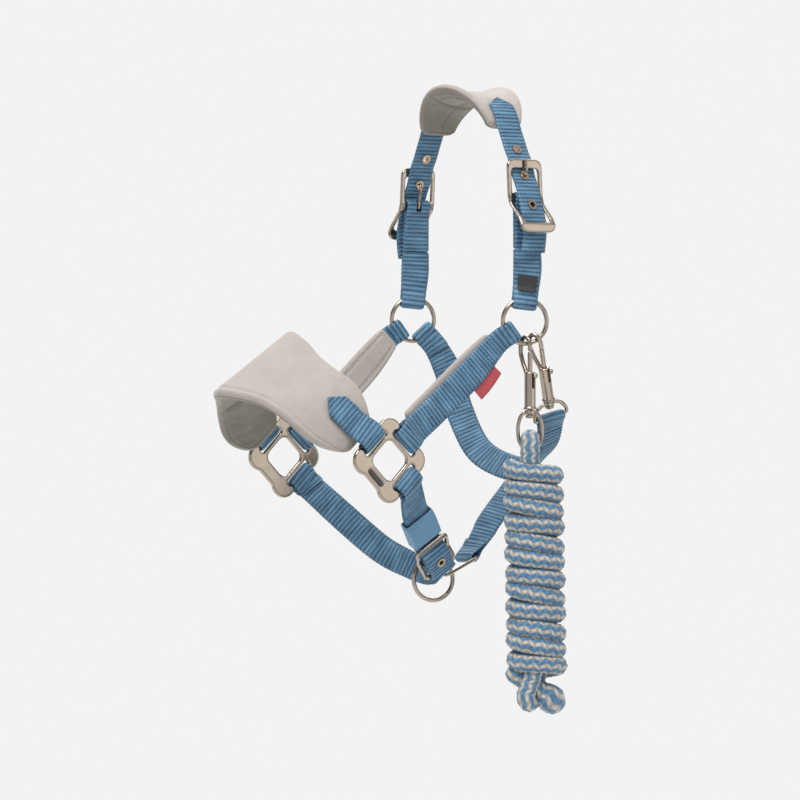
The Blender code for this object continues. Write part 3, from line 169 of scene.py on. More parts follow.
KNOT_LINE = ((6.5, -80.5, -409.0), (13.5, -79.5, -414.0), (21.5, -77.5, -416.0), (24.0, -77.0, -416.5))

# Camera
VIEW_AZIMUTH = math.radians(-34)
VIEW_DISTANCE = 2.8             # metres
VIEW_FIELD = 0.56               # metres across the picture at the object
VIEW_CENTRE = (-0.049, -0.2079)  # metres: across the view, height
FLOOR_HEIGHT = -0.62
FLOOR_RADIUS = 1.2

# Name, azimuth and elevation in degrees, distance and size in metres, watts
LIGHTS = (("key", -55, 56, 1.7, 1.1, 30), ("fill", 25, 14, 2.0, 1.4, 5), ("rim", 150, 45, 1.8, 0.9, 14))

# Brightness of the surroundings by height: 0 straight down, 0.5 eye level, 1 straight up
WORLD_BANDS = ((0.28, 0.12), (0.36, 0.40), (0.42, 0.895), (0.60, 0.895), (0.66, 0.25), (0.74, 0.10),
               (0.82, 0.80))


# ---------------------------------------------------------------- camera, light and floor

def make_camera():
    right = Vector((math.cos(VIEW_AZIMUTH), math.sin(VIEW_AZIMUTH), 0))
    back = Vector((math.sin(VIEW_AZIMUTH), -math.cos(VIEW_AZIMUTH), 0))
    data = bpy.data.cameras.new("camera")
    camera = bpy.data.objects.new("camera", data)
    bpy.context.scene.collection.objects.link(camera)
    camera.location = right * VIEW_CENTRE[0] + Vector((0, 0, VIEW_CENTRE[1])) + back * VIEW_DISTANCE
    camera.rotation_euler = (-back).to_track_quat('-Z', 'Y').to_euler()
    data.sensor_width = 36
    data.lens = 36 * VIEW_DISTANCE / VIEW_FIELD
    data.clip_end = 50
    bpy.context.scene.camera = camera


def area_light(name, azimuth, elevation, distance, size, power):
    """A square lamp that looks at the middle of the halter; azimuth as the camera's, in degrees."""
    a, e = math.radians(azimuth), math.radians(elevation)
    away = Vector((math.sin(a) * math.cos(e), -math.cos(a) * math.cos(e), math.sin(e)))
    data = bpy.data.lights.new(name, 'AREA')
    data.size = size
    data.energy = power
    lamp = bpy.data.objects.new(name, data)
    bpy.context.scene.collection.objects.link(lamp)
    lamp.location = away * distance + Vector((0, 0, -0.2))
    lamp.rotation_euler = (-away).to_track_quat('-Z', 'Y').to_euler()


def make_world():
    """Pale studio: an even backdrop at eye level, dark and bright bands that the metal mirrors."""
    bpy.context.scene.view_settings.view_transform = 'Standard'
    world = bpy.data.worlds.new("studio")
    bpy.context.scene.world = world
    world.use_nodes = True
    nodes, links = world.node_tree.nodes, world.node_tree.links
    background = nodes["Background"]
    coords = nodes.new("ShaderNodeTexCoord")
    split = nodes.new("ShaderNodeSeparateXYZ")
    ramp = nodes.new("ShaderNodeValToRGB")
    ramp.color_ramp.elements[0].position = 0.0
    ramp.color_ramp.elements[0].color = (0.16, 0.15, 0.14, 1)
    ramp.color_ramp.elements[1].position = 1.0
    ramp.color_ramp.elements[1].color = (1, 1, 1, 1)
    for position, value in WORLD_BANDS:
        ramp.color_ramp.elements.new(position).color = (value, value, value, 1)
    half = nodes.new("ShaderNodeMath")
    half.operation = 'MULTIPLY_ADD'
    half.inputs[1].default_value = 0.5
    half.inputs[2].default_value = 0.5
    links.new(coords.outputs["Generated"], split.inputs[0])
    links.new(split.outputs["Z"], half.inputs[0])
    links.new(half.outputs[0], ramp.inputs[0])
    links.new(ramp.outputs[0], background.inputs[0])
    background.inputs[1].default_value = 1.0


def make_floor():
    bm = bmesh.new()
    bmesh.ops.create_circle(bm, cap_ends=True, segments=96, radius=FLOOR_RADIUS)
    mesh = bpy.data.meshes.new("floor")
    bm.to_mesh(mesh)
    bm.free()
    floor = bpy.data.objects.new("floor", mesh)
    bpy.context.scene.collection.objects.link(floor)
    floor.location.z = FLOOR_HEIGHT
    mesh.materials.append(MATERIALS["floor"])


# ---------------------------------------------------------------- materials

class Nodes:
    """Short helpers to write a node tree top down."""

    def __init__(self, name):
        self.material = bpy.data.materials.new(name)
        self.material.use_nodes = True
        self.tree = self.material.node_tree
        self.shader = self.tree.nodes["Principled BSDF"]

    def node(self, kind, **settings):
        made = self.tree.nodes.new("ShaderNode" + kind)
        for key, value in settings.items():
            setattr(made, key, value)
        return made

    def link(self, source, target):
        self.tree.links.new(source, target)

    def value(self, target, source):
        if isinstance(source, (int, float)):
            target.default_value = source
        else:
            self.link(source, target)

    def math(self, operation, a, b=0.0, c=0.0):
        made = self.node("Math", operation=operation)
        for target, source in zip(made.inputs, (a, b, c)):
            self.value(target, source)
        return made.outputs[0]

    def coords(self, kind, scale=(1, 1, 1)):
        source = self.node("TexCoord").outputs[kind]
        mapping = self.node("Mapping")
        mapping.inputs["Scale"].default_value = scale
        self.link(source, mapping.inputs[0])
        return mapping.outputs[0]

    def noise(self, coords, scale, detail=3.0, roughness=0.55):
        made = self.node("TexNoise")
        made.inputs["Scale"].default_value = scale
        made.inputs["Detail"].default_value = detail
        made.inputs["Roughness"].default_value = roughness
        self.link(coords, made.inputs["Vector"])
        return made.outputs["Fac"]

    def ramp(self, factor, *stops):
        made = self.node("ValToRGB")
        ramp = made.color_ramp
        ramp.elements[0].position, ramp.elements[0].color = stops[0][0], (*stops[0][1], 1)
        ramp.elements[1].position, ramp.elements[1].color = stops[-1][0], (*stops[-1][1], 1)
        for position, colour in stops[1:-1]:
            ramp.elements.new(position).color = (*colour, 1)
        self.link(factor, made.inputs[0])
        return made.outputs[0]

    def mix(self, factor, a, b, blend='MIX'):
        made = self.node("Mix", data_type='RGBA', blend_type=blend)
        self.value(made.inputs[0], factor)
        for target, source in ((made.inputs[6], a), (made.inputs[7], b)):
            if isinstance(source, tuple):
                target.default_value = (*source, 1)
            else:
                self.link(source, target)
        return made.outputs[2]

    def bump(self, height, strength, distance):
        """distance in millimetres"""
        made = self.node("Bump")
        made.inputs["Strength"].default_value = strength
        made.inputs["Distance"].default_value = distance * MM
        self.link(height, made.inputs["Height"])
        self.link(made.outputs[0], self.shader.inputs["Normal"])

    def finish(self, colour, roughness, **fixed):
        self.link(colour, self.shader.inputs["Base Color"])
        self.value(self.shader.inputs["Roughness"], roughness)
        for name, value in fixed.items():
            self.shader.inputs[name.replace("_", " ")].default_value = value
        return self.material


def split_uv(n):
    """Length along and distance across a strap, both in metres."""
    split = n.node("SeparateXYZ")
    n.link(n.node("UVMap", uv_map="strap").outputs[0], split.inputs[0])
    return split.outputs[0], split.outputs[1]


def webbing_material():
    """Ribbed nylon webbing: fat weft ribs with painted shade in the grooves and painted light on their
    tops, fine warp yarns over them, uneven dye from rib to rib.
    """
    n = Nodes("webbing")
    along, across = split_uv(n)
    vector = n.node("CombineXYZ")
    n.link(along, vector.inputs[0])
    n.link(across, vector.inputs[1])
    stretched = n.node("Mapping")
    stretched.inputs["Scale"].default_value = (1.0, 0.25, 1.0)
    n.link(vector.outputs[0], stretched.inputs[0])
    bands = n.noise(stretched.outputs[0], 190.0, 2.0)
    yarn_map = n.node("Mapping")
    yarn_map.inputs["Scale"].default_value = (0.45, 1.0, 1.0)
    n.link(vector.outputs[0], yarn_map.inputs[0])
    heather = n.noise(yarn_map.outputs[0], 1500.0, 2.0)
    # the rib wave: in the colour it paints shade into the grooves and light onto the rib tops; in the bump
    # it is the rib's relief
    rib = n.math('COSINE', n.math('MULTIPLY', along, 2 * math.pi / (RIB_PITCH * MM)))
    rib = n.math('POWER', n.math('MULTIPLY_ADD', rib, 0.499, 0.5), 0.55)
    warp = n.math('SINE', n.math('MULTIPLY', across, 2 * math.pi / (0.62 * MM)))
    # colour factor: painted groove shade and rib-top light from the rib wave, plus dye bands and heathered
    # yarn
    lift = n.math('MULTIPLY_ADD', rib, 0.42, n.math('MULTIPLY', bands, 0.70))
    lift = n.math('ADD', lift, n.math('MULTIPLY_ADD', heather, 0.50, -0.40))
    colour = n.ramp(lift, (0.18, (0.012, 0.036, 0.072)), (0.42, (0.044, 0.120, 0.205)),
                    (0.66, (0.088, 0.208, 0.320)), (0.95, (0.190, 0.365, 0.500)))
    height = n.math('ADD', n.math('MULTIPLY', warp, 0.25), n.math('MULTIPLY_ADD', heather, 0.9, rib))
    n.bump(height, 0.55, 0.22)
    return n.finish(colour, n.math('MULTIPLY_ADD', heather, 0.25, 0.45), Sheen_Weight=0.15,
                    Sheen_Roughness=0.4)


def tape_material(name, dark, light, pitch=0.9):
    """Smooth woven tape with a fine lengthwise grain."""
    n = Nodes(name)
    coords = n.coords("Object")
    grain = n.noise(n.coords("Object", (1, 1, 0.5)), 1400.0, 2.0)
    cloud = n.noise(coords, 90.0, 2.0)
    wave = n.node("TexWave", wave_type='BANDS', bands_direction='DIAGONAL')
    wave.inputs["Scale"].default_value = 1 / (pitch * MM * 20)
    wave.inputs["Distortion"].default_value = 1.5
    n.link(coords, wave.inputs["Vector"])
    mixed = n.math('MULTIPLY_ADD', grain, 0.6, n.math('MULTIPLY', cloud, 0.4))
    colour = n.ramp(mixed, (0.25, dark), (0.75, light))
    n.bump(n.math('ADD', grain, wave.outputs["Fac"]), 0.3, 0.1)
    return n.finish(colour, 0.62, Sheen_Weight=0.1)


def velvet_material(name, shadow, body, light, pile):
    """Short pile: soft blotches where it is brushed, a fine nap, and sheen at grazing angles."""
    n = Nodes(name)
    coords = n.coords("Object")
    cloud = n.noise(coords, 42.0, 3.0)
    brushed = n.noise(n.coords("Object", (0.4, 1.0, 1.0)), 260.0, 3.0)
    nap = n.noise(coords, 2600.0, 2.0, 0.7)
    blend = n.math('ADD', n.math('MULTIPLY', cloud, 0.45), n.math('MULTIPLY', brushed, 0.25))
    blend = n.math('MULTIPLY_ADD', nap, 0.30, blend)
    colour = n.ramp(blend, (0.30, shadow), (0.52, body), (0.72, light))
    n.bump(n.math('MULTIPLY_ADD', brushed, 0.6, nap), 0.5, pile)
    n.shader.inputs["Sheen Tint"].default_value = (1.0, 0.97, 0.94, 1)
    return n.finish(colour, n.math('MULTIPLY_ADD', nap, 0.1, 0.82), Sheen_Weight=0.45,
                    Sheen_Roughness=0.35, Specular_IOR_Level=0.25)


def metal_material(name, base, warm, roughness):
    """Polished die-cast metal under nickel: faint ripples, fine scratches and duller handled spots."""
    n = Nodes(name)
    coords = n.coords("Object")
    cloud = n.noise(coords, 120.0, 3.0)
    scratch = n.noise(n.coords("Object", (1.0, 0.12, 0.3)), 2400.0, 2.0, 0.7)
    colour = n.mix(cloud, base, warm)
    rough = n.math('MULTIPLY_ADD', scratch, 0.10, roughness - 0.05)
    rough = n.math('MULTIPLY_ADD', cloud, 0.08, rough)
    n.bump(n.math('MULTIPLY_ADD', cloud, 2.0, n.math('MULTIPLY', scratch, 0.03)), 0.15, 0.12)
    return n.finish(colour, rough, Metallic=1.0)


def rope_material():
    """Two-colour braid: strand colours, with painted shade in the grooves between stitches, are stored on
    the mesh; fibres and soiling come from noise.
    """
    n = Nodes("rope")
    # the stored strand colours carry painted shade: darker in the grooves, a little lighter on the stitch
    # crowns
    strand = n.node("VertexColor", layer_name="strand").outputs["Color"]
    split = n.node("SeparateXYZ")
    n.link(n.node("UVMap", uv_map="strap").outputs[0], split.inputs[0])
    slanted = n.node("CombineXYZ")
    n.link(n.math('MULTIPLY_ADD', split.outputs[1], 0.5, n.math('MULTIPLY', split.outputs[0], 0.35)),
           slanted.inputs[0])
    n.link(split.outputs[1], slanted.inputs[1])
    fibre = n.noise(slanted.outputs[0], 1700.0, 2.0, 0.6)
    cloud = n.noise(n.coords("Object"), 60.0, 2.0)
    shade = n.ramp(n.math('MULTIPLY_ADD', cloud, 0.35, n.math('MULTIPLY', fibre, 0.65)),
                   (0.25, (0.55, 0.56, 0.58)), (0.55, (0.95, 0.95, 0.95)), (0.8, (1.25, 1.25, 1.22)))
    colour = n.mix(1.0, strand, shade, 'MULTIPLY')
    n.bump(fibre, 0.6, 0.25)
    return n.finish(colour, 0.78, Sheen_Weight=0.2, Sheen_Roughness=0.5)


def plain_material(name, dark, light, roughness, scale):
    n = Nodes(name)
    cloud = n.noise(n.coords("Object"), scale, 3.0)
    n.bump(cloud, 0.2, 0.1)
    return n.finish(n.mix(cloud, dark, light), roughness)


def make_materials():
    return {
        "webbing": webbing_material(),
        "tape": tape_material("tape", (0.060, 0.150, 0.250), (0.120, 0.270, 0.400)),
        "velvet": velvet_material("velvet", (0.305, 0.273, 0.250), (0.350, 0.316, 0.292),
                                  (0.390, 0.355, 0.330), 0.10),
        "lining": velvet_material("lining", (0.150, 0.133, 0.115), (0.215, 0.193, 0.170),
                                  (0.265, 0.240, 0.212), 0.22),
        "metal": metal_material("metal", (0.370, 0.316, 0.258), (0.325, 0.275, 0.222), 0.15),
        "eyelet": metal_material("eyelet", (0.430, 0.335, 0.240), (0.360, 0.275, 0.190), 0.22),
        "rope": rope_material(),
        "plaque": plain_material("plaque", (0.020, 0.018, 0.016), (0.050, 0.046, 0.042), 0.35, 300),
        "size_label": tape_material("size_label", (0.008, 0.008, 0.010), (0.022, 0.022, 0.026)),
        "side_tag": tape_material("side_tag", (0.300, 0.026, 0.040), (0.420, 0.055, 0.075)),
        "thread": plain_material("thread", (0.035, 0.095, 0.165), (0.085, 0.200, 0.310), 0.6, 900),
        "pale_thread": plain_material("pale_thread", (0.360, 0.325, 0.295), (0.470, 0.430, 0.395),
                                      0.7, 900),
        "floor": plain_material("floor", (0.82, 0.82, 0.82), (0.84, 0.84, 0.84), 0.8, 6),
    }


# ---------------------------------------------------------------- pieces

def add_piece(name, mesh, material, body, replaced=()):
    obj = bpy.data.objects.new(name, mesh)
    bpy.context.scene.collection.objects.link(obj)
    mesh.materials.clear()
    mesh.materials.append(MATERIALS[material])
    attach(obj, body)
    if replaced:
        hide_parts(*replaced)
    return obj


def grid_mesh(name, points, uvs=None, ring=False):
    """Mesh of a (rows, columns, 3) array in millimetres; ring closes each row on itself."""
    rows, columns = points.shape[:2]
    across = columns if ring else columns - 1
    index = np.arange(rows * columns).reshape(rows, columns)
    nxt = np.roll(index, -1, axis=1)
    faces = np.stack((index[:-1, :across], nxt[:-1, :across], nxt[1:, :across],
                      index[1:, :across]), axis=-1).reshape(-1, 4)
    mesh = bpy.data.meshes.new(name)
    mesh.from_pydata((points.reshape(-1, 3) * MM).tolist(), [], faces.tolist())
    if uvs is not None:
        flat = uvs.reshape(-1, 2)
        corners = flat[faces].copy()
        if ring:
            seam = np.tile(np.arange(across) == across - 1, rows - 1)
            corners[seam, 1, 1] += uvs[0, 1, 1] * columns - uvs[0, 0, 1] * columns
            corners[seam, 2, 1] += uvs[0, 1, 1] * columns - uvs[0, 0, 1] * columns
        layer = mesh.uv_layers.new(name="strap")
        layer.data.foreach_set("uv", corners.astype(np.float32).ravel())
    return mesh


def cap_ends(mesh):
    """Close the open ends of a tube."""
    bm = bmesh.new()
    bm.from_mesh(mesh)
    bmesh.ops.remove_doubles(bm, verts=bm.verts, dist=2e-6)
    bmesh.ops.holes_fill(bm, edges=[e for e in bm.edges if e.is_boundary], sides=0)
    bmesh.ops.recalc_face_normals(bm, faces=bm.faces)
    bm.to_mesh(mesh)
    bm.free()


def frame_matrix(origin, x_axis, z_axis):
    z_axis = z_axis.normalized()
    x_axis = (x_axis - z_axis * x_axis.dot(z_axis)).normalized()
    turn = Matrix((x_axis, z_axis.cross(x_axis), z_axis)).transposed().to_4x4()
    return Matrix.Translation(origin * MM) @ turn


# ---------------------------------------------------------------- strap lines, as in the model

def catmull(points, steps):
    """Points along the smooth curve through the given vectors."""
    line = []
    last = len(points) - 1
    for i in range(last):
        before = points[max(i - 1, 0)]
        start, end = points[i], points[i + 1]
        after = points[min(i + 2, last)]
        for step in range(steps):
            t = step / steps
            line.append(0.5 * (2 * start + (end - before) * t
                               + (2 * before - 5 * start + 4 * end - after) * t ** 2
                               + (3 * start - before - 3 * end + after) * t ** 3))
    line.append(points[last].copy())
    return line


def ease(value):
    value = min(max(value, 0.0), 1.0)
    return value * value * (3 - 2 * value)


class Route:
    """The middle line of a strap, with the direction across it at every point."""

    def __init__(self, points, across):
        self.points = catmull([Vector(p) for p in points], 12)
        self.across = catmull([Vector(a) for a in across], 12)
        self.lengths = [0.0]
        for a, b in zip(self.points, self.points[1:]):
            self.lengths.append(self.lengths[-1] + (b - a).length)
        self.length = self.lengths[-1]

    def at(self, length):
        """Point, along, across and outward vectors at a length; past an end it runs straight on."""
        inside = min(max(length, 0.0), self.length)
        i = 0
        while i < len(self.lengths) - 2 and self.lengths[i + 1] < inside:
            i += 1
        t = (inside - self.lengths[i]) / (self.lengths[i + 1] - self.lengths[i])
        before, after = max(i - 1, 0), min(i + 2, len(self.points) - 1)
        along = (self.points[after] - self.points[before]).normalized()
        point = self.points[i].lerp(self.points[i + 1], t) + along * (length - inside)
        across = self.across[i].lerp(self.across[i + 1], t)
        scale = across.length
        across = (across - along * across.dot(along)).normalized()
        return point, along, across * scale, along.cross(across).normalized()

    def length_at_height(self, height):
        for (a, b), length in zip(zip(self.points, self.points[1:]), self.lengths):
            if (a.z - height) * (b.z - height) <= 0:
                return length + (a - b).length * (a.z - height) / (a.z - b.z)
        return 0.0


class Fold:
    """How a strap's end wraps a bar: see layer_rows for what each value does."""

    def __init__(self, bar_radius, ring_radius=0.0, back=14.0, hold=0.0):
        spare = 0.7 if ring_radius else 0.0
        self.radius = bar_radius + spare + GAP + WEB_THICK / 2
        self.ring_radius = ring_radius
        self.back = back
        self.hold = hold


def layer_rows(route, start, stop, side, folds):
    """Rows of one layer from one length to another, swelling to meet the fold at each end."""
    count = max(2, round(abs(stop - start) / LAYER_STEP))
    rows = []
    for i in range(count + 1):
        length = start + (stop - start) * i / count
        point, along, across, out = route.at(length)
        offset = LAYER_OFFSET if folds[0] and folds[1] else 0.0
        pull = Vector()
        for fold, distance, sign in ((folds[0], length, -1), (folds[1], route.length - length, 1)):
            if fold:
                if offset == 0.0:
                    offset = LAYER_OFFSET * ease((fold.back + TAIL_REACH - distance) / TAIL_EASE)
                offset += (fold.radius - LAYER_OFFSET) * ease(1 - (distance - fold.hold) / FOLD_EASE)
                if fold.ring_radius:
                    pull = pull + along * sign * ease(1 - distance / RING_EASE)
        rows.append((point + out * offset * side, across, pull))
    return rows


def fold_rows(route, fold, at_end, side):
    """Half a turn round the bar, from one layer to the other."""
    point, along, across, out = route.at(route.length if at_end else 0.0)
    away = along if at_end else -along
    rows = []
    for step in range(1, FOLD_STEPS):
        angle = math.pi * step / FOLD_STEPS
        shift = out * math.cos(angle) * side + away * math.sin(angle)
        rows.append((point + shift * fold.radius, across, away if fold.ring_radius else Vector()))
    return rows


def strap_rows(route, folds):
    """Back layer, fold, front layer, fold, back layer: whatever of these the strap has."""
    rows = []
    start, end = folds
    if start:
        rows += layer_rows(route, start.back, 0.0, -1, folds)
        rows += fold_rows(route, start, False, -1)
    rows += layer_rows(route, 0.0, route.length, 1, folds)
    if end:
        rows += fold_rows(route, end, True, 1)
        rows += layer_rows(route, route.length, route.length - end.back, -1, folds)
    return rows


# ---------------------------------------------------------------- fine webbing

def resample(rows, step):
    """Evenly spaced points, across directions and pulls along the rows, as arrays."""
    points = np.array([r[0] for r in rows])
    data = np.hstack((points, np.array([r[1] for r in rows]), np.array([r[2] for r in rows])))
    keep = np.concatenate(([True], np.linalg.norm(np.diff(points, axis=0), axis=1) > 1e-3))
    data = data[keep]
    vectors = [Vector(row) for row in data]
    fine = np.array([tuple(v) for v in catmull(vectors, 6)])
    lengths = np.concatenate(([0], np.cumsum(np.linalg.norm(np.diff(fine[:, :3], axis=0), axis=1))))
    count = max(4, int(round(lengths[-1] / step)))
    stations = np.linspace(0, lengths[-1], count + 1)
    return stations, np.stack([np.interp(stations, lengths, fine[:, i]) for i in range(9)], axis=1)


def strap_section(half_width, thick):
    """Closed loop round a strap's section: (across, out, +1 front or -1 back) rows."""
    top = np.linspace(-1, 1, 13)
    height = (1 - np.abs(top) ** 7) ** 0.5
    front = [(x * half_width, h * thick / 2, 1) for x, h in zip(top, height)]
    back = [(x * half_width, -h * thick / 2, -1) for x, h in zip(top[::-1], height[::-1])]
    return np.array(front + back[1:-1])


def run_on(stations, data, tip, first):
    """Carry a strap straight on past one end, as far as its point needs."""
    extra = int(math.ceil(tip / ROW_STEP))
    a, b = (data[0], data[1]) if first else (data[-1], data[-2])
    slope = (a - b)[:3]
    more = np.array([np.concatenate((a[:3] + slope * k, a[3:])) for k in range(1, extra + 1)])
    spots = np.arange(1, extra + 1) * ROW_STEP
    if first:
        return np.concatenate((stations[0] - spots[::-1], stations)), np.vstack((more[::-1], data))
    return np.concatenate((stations, stations[-1] + spots)), np.vstack((data, more))


def pointed(stations, share, tips):
    """Where along the strap each point lies, once the ends are cut to their points."""
    low = stations[0] + math.ceil(tips[0] / ROW_STEP) * ROW_STEP
    high = stations[-1] - math.ceil(tips[1] / ROW_STEP) * ROW_STEP
    wanted = stations[:, None].repeat(len(share), axis=1)
    return np.clip(wanted, low - tips[0] * (1 - share), high + tips[1] * (1 - share))


def fine_strap(name, rows, node, material="webbing", ring_radius=0.0, tips=(0.0, 0.0),
               half_width=WEB_WIDTH / 2, thick=WEB_THICK - 0.12, ribs=RIB_HEIGHT):
    """Ribbed webbing with rounded selvedges; tips are how far each end runs to a point."""
    stations, data = resample(rows, ROW_STEP)
    for tip, first in zip(tips, (True, False)):
        if tip:
            stations, data = run_on(stations, data, tip, first)
    section = strap_section(half_width, thick)
    x, y, face = section[:, 0], section[:, 1], section[:, 2]
    share = np.abs(x) / half_width
    wanted = pointed(stations, share, tips)
    spot = np.stack([np.interp(wanted, stations, data[:, i]) for i in range(9)], axis=-1)
    line = data[:, :3]
    along = np.gradient(line, axis=0)
    along /= np.linalg.norm(along, axis=1)[:, None]
    across = data[:, 3:6]
    scale = np.linalg.norm(across, axis=1)
    out = np.cross(along, across)
    out /= np.linalg.norm(out, axis=1)[:, None]
    side = np.cross(out, along) * scale[:, None]
    wave = np.cos(2 * math.pi * wanted / RIB_PITCH + np.where(face > 0, 0, math.pi))
    wave = 2 * (0.5 + 0.5 * wave) ** 0.6 - 1
    lift = y + np.sign(y) * ribs * wave * (1 - share ** 6)
    width = x * (1 + 0.012 * np.cos(2 * math.pi * wanted / RIB_PITCH))
    points = spot[..., :3] + side[:, None] * width[..., None] + out[:, None] * lift[..., None]
    if ring_radius:
        reach = half_width * (2 + scale) / 3
        rise = ring_radius - np.sqrt(ring_radius ** 2 - reach ** 2)
        points = points + spot[..., 6:9] * rise[:, None, None]
    # the UV length puts the webbing colour's painted groove shade and rib-top light over the mesh's ribs,
    # on both faces
    rib_place = wanted + np.where(face > 0, 0, RIB_PITCH / 2)
    uvs = np.stack((rib_place * MM, np.broadcast_to(x * MM, wanted.shape)), axis=-1)
    mesh = grid_mesh(name, points, uvs, ring=True)
    cap_ends(mesh)
    mesh.shade_smooth()
    return add_piece(name, mesh, material, "headcollar", [node])


def cut(obj, cutter_mesh):
    """Cut a hole through a piece and apply it."""
    cutter = bpy.data.objects.new("cutter", cutter_mesh)
    bpy.context.scene.collection.objects.link(cutter)
    modifier = obj.modifiers.new("hole", 'BOOLEAN')
    modifier.object = cutter
    modifier.operation = 'DIFFERENCE'
    graph = bpy.context.evaluated_depsgraph_get()
    mesh = bpy.data.meshes.new_from_object(obj.evaluated_get(graph))
    obj.modifiers.clear()
    obj.data = mesh
    bpy.data.objects.remove(cutter)


def punch(obj, centre, axis, radius):
    bm = bmesh.new()
    bmesh.ops.create_cone(bm, cap_ends=True, segments=24, radius1=radius * MM, radius2=radius * MM,
                          depth=8 * MM)
    side = Vector((0, 0, 1)) if abs(axis.z) < 0.9 else Vector((1, 0, 0))
    bm.transform(frame_matrix(centre, side, axis))
    mesh = bpy.data.meshes.new("punch")
    bm.to_mesh(mesh)
    bm.free()
    cut(obj, mesh)


def punch_slot(obj, centre, along, across, reach):
    """The slot in a fold where a buckle's tongue comes through."""
    bm = bmesh.new()
    bmesh.ops.create_cube(bm, size=1.0)
    bm.transform(Matrix.Diagonal((2 * SLOT_HALF_WIDTH * MM, 14 * MM, 2 * reach * MM, 1)))
    bm.transform(frame_matrix(centre, across, along))
    mesh = bpy.data.meshes.new("slot")
    bm.to_mesh(mesh)
    bm.free()
    cut(obj, mesh)


# ---------------------------------------------------------------- stitching

THREADS = {"webbing": "thread", "velvet": "pale_thread"}
STITCH_SIDES = 6
# Rings of one stitch: share of its length, share of its radius, height over what it is sewn on
STITCH_RINGS = ((0, 0.35, -0.25), (0.18, 0.9, 0.06), (0.5, 1.1, 0.12), (0.82, 0.9, 0.06), (1, 0.35, -0.25))
SEAM_INSET = WEB_WIDTH / 2 - 1.8        # stitching, out from a strap's middle line
FRONT_LIFT = LAYER_OFFSET + WEB_THICK / 2 + 0.12
SINGLE_LIFT = WEB_THICK / 2 + 0.12
TAIL_LIFT = 1.9                         # on a short tail that lies on a single layer

def stitch_run(spots, normals, pitch=2.5, length=1.8, radius=0.26):
    """Thread stitches along a line of points, as (vertices, faces)."""
    line = np.array([tuple(p) for p in spots])
    facing = np.array([tuple(p) for p in normals])
    lengths = np.concatenate(([0], np.cumsum(np.linalg.norm(np.diff(line, axis=0), axis=1))))
    verts, faces = [], []
    count = int(lengths[-1] / pitch)
    for k in range(count):
        middle = (k + 0.5) * lengths[-1] / count
        ends = [np.array([np.interp(middle + d, lengths, line[:, i]) for i in range(3)])
                for d in (-length / 2, length / 2)]
        normal = np.array([np.interp(middle, lengths, facing[:, i]) for i in range(3)])
        normal /= np.linalg.norm(normal)
        along = ends[1] - ends[0]
        along /= np.linalg.norm(along)
        side = np.cross(normal, along)
        base = len(verts)
        for t, size, lift in STITCH_RINGS:
            centre = ends[0] + (ends[1] - ends[0]) * t + normal * lift
            for a in range(STITCH_SIDES):
                angle = 2 * math.pi / STITCH_SIDES * a
                verts.append(centre + (side * math.cos(angle) + normal * math.sin(angle) * 0.8)
                             * radius * size)
        for ring in range(len(STITCH_RINGS) - 1):
            low = base + ring * STITCH_SIDES
            high = low + STITCH_SIDES
            for a in range(STITCH_SIDES):
                b = (a + 1) % STITCH_SIDES
                faces.append((low + a, low + b, high + b, high + a))
        faces.append(tuple(base + a for a in reversed(range(STITCH_SIDES))))
        faces.append(tuple(high + a for a in range(STITCH_SIDES)))
    return verts, faces


def stitching(name, runs, ground="webbing"):
    """One piece that holds every run of stitches on a strap or pad."""
    verts, faces = [], []
    for spots, normals in runs:
        made, linked = stitch_run(spots, normals)
        faces += [tuple(i + len(verts) for i in face) for face in linked]
        verts += made
    mesh = bpy.data.meshes.new(name)
    mesh.from_pydata([tuple(v * MM) for v in verts], [], faces)
    mesh.shade_smooth()
    add_piece(name, mesh, THREADS[ground], "headcollar")


def strap_line(route, start, stop, offset, lift, side=1):
    """A line of stitching on a strap: from one length to another at an offset across it."""
    spots, normals = [], []
    count = max(2, int(abs(stop - start) / 2))
    for i in range(count + 1):
        point, _, across, out = route.at(start + (stop - start) * i / count)
        spots.append(point + across * offset + out * lift * side)
        normals.append(out * side)
    return spots, normals


def strap_bar(route, length, half, lift, side=1):
    """A line of stitching straight across a strap."""
    point, _, across, out = route.at(length)
    spots = [point + across * half * t + out * lift * side for t in (-1, -0.5, 0, 0.5, 1)]
    return spots, [out * side] * 5


def from_end(route, place):
    """A place along a strap; a negative one counts back from its end."""
    return place if place >= 0 else route.length + place


def strap_box(route, start, stop, lift, side=1):
    """Boxed stitching that joins two layers."""
    start, stop = from_end(route, start), from_end(route, stop)
    return [strap_line(route, start, stop, SEAM_INSET, lift, side),
            strap_line(route, start, stop, -SEAM_INSET, lift, side),
            strap_bar(route, start, SEAM_INSET, lift, side),
            strap_bar(route, stop, SEAM_INSET, lift, side)]


def strap_edges(route, start, stop):
    """A line of stitching along both edges of a single layer."""
    start, stop = from_end(route, start), from_end(route, stop)
    return [strap_line(route, start, stop, SEAM_INSET, SINGLE_LIFT),
            strap_line(route, start, stop, -SEAM_INSET, SINGLE_LIFT)]


def point_runs(route, length, reach):
    """Stitching on the two slanting edges of a strap's point; reach is how far they run past length."""
    tip, along, wide, out = route.at(length)
    return [([tip + wide * SEAM_INSET * s + out * SINGLE_LIFT,
              tip + along * reach + out * SINGLE_LIFT], [out, out]) for s in (-1, 1)]




# ---------------------------------------------------------------- pads

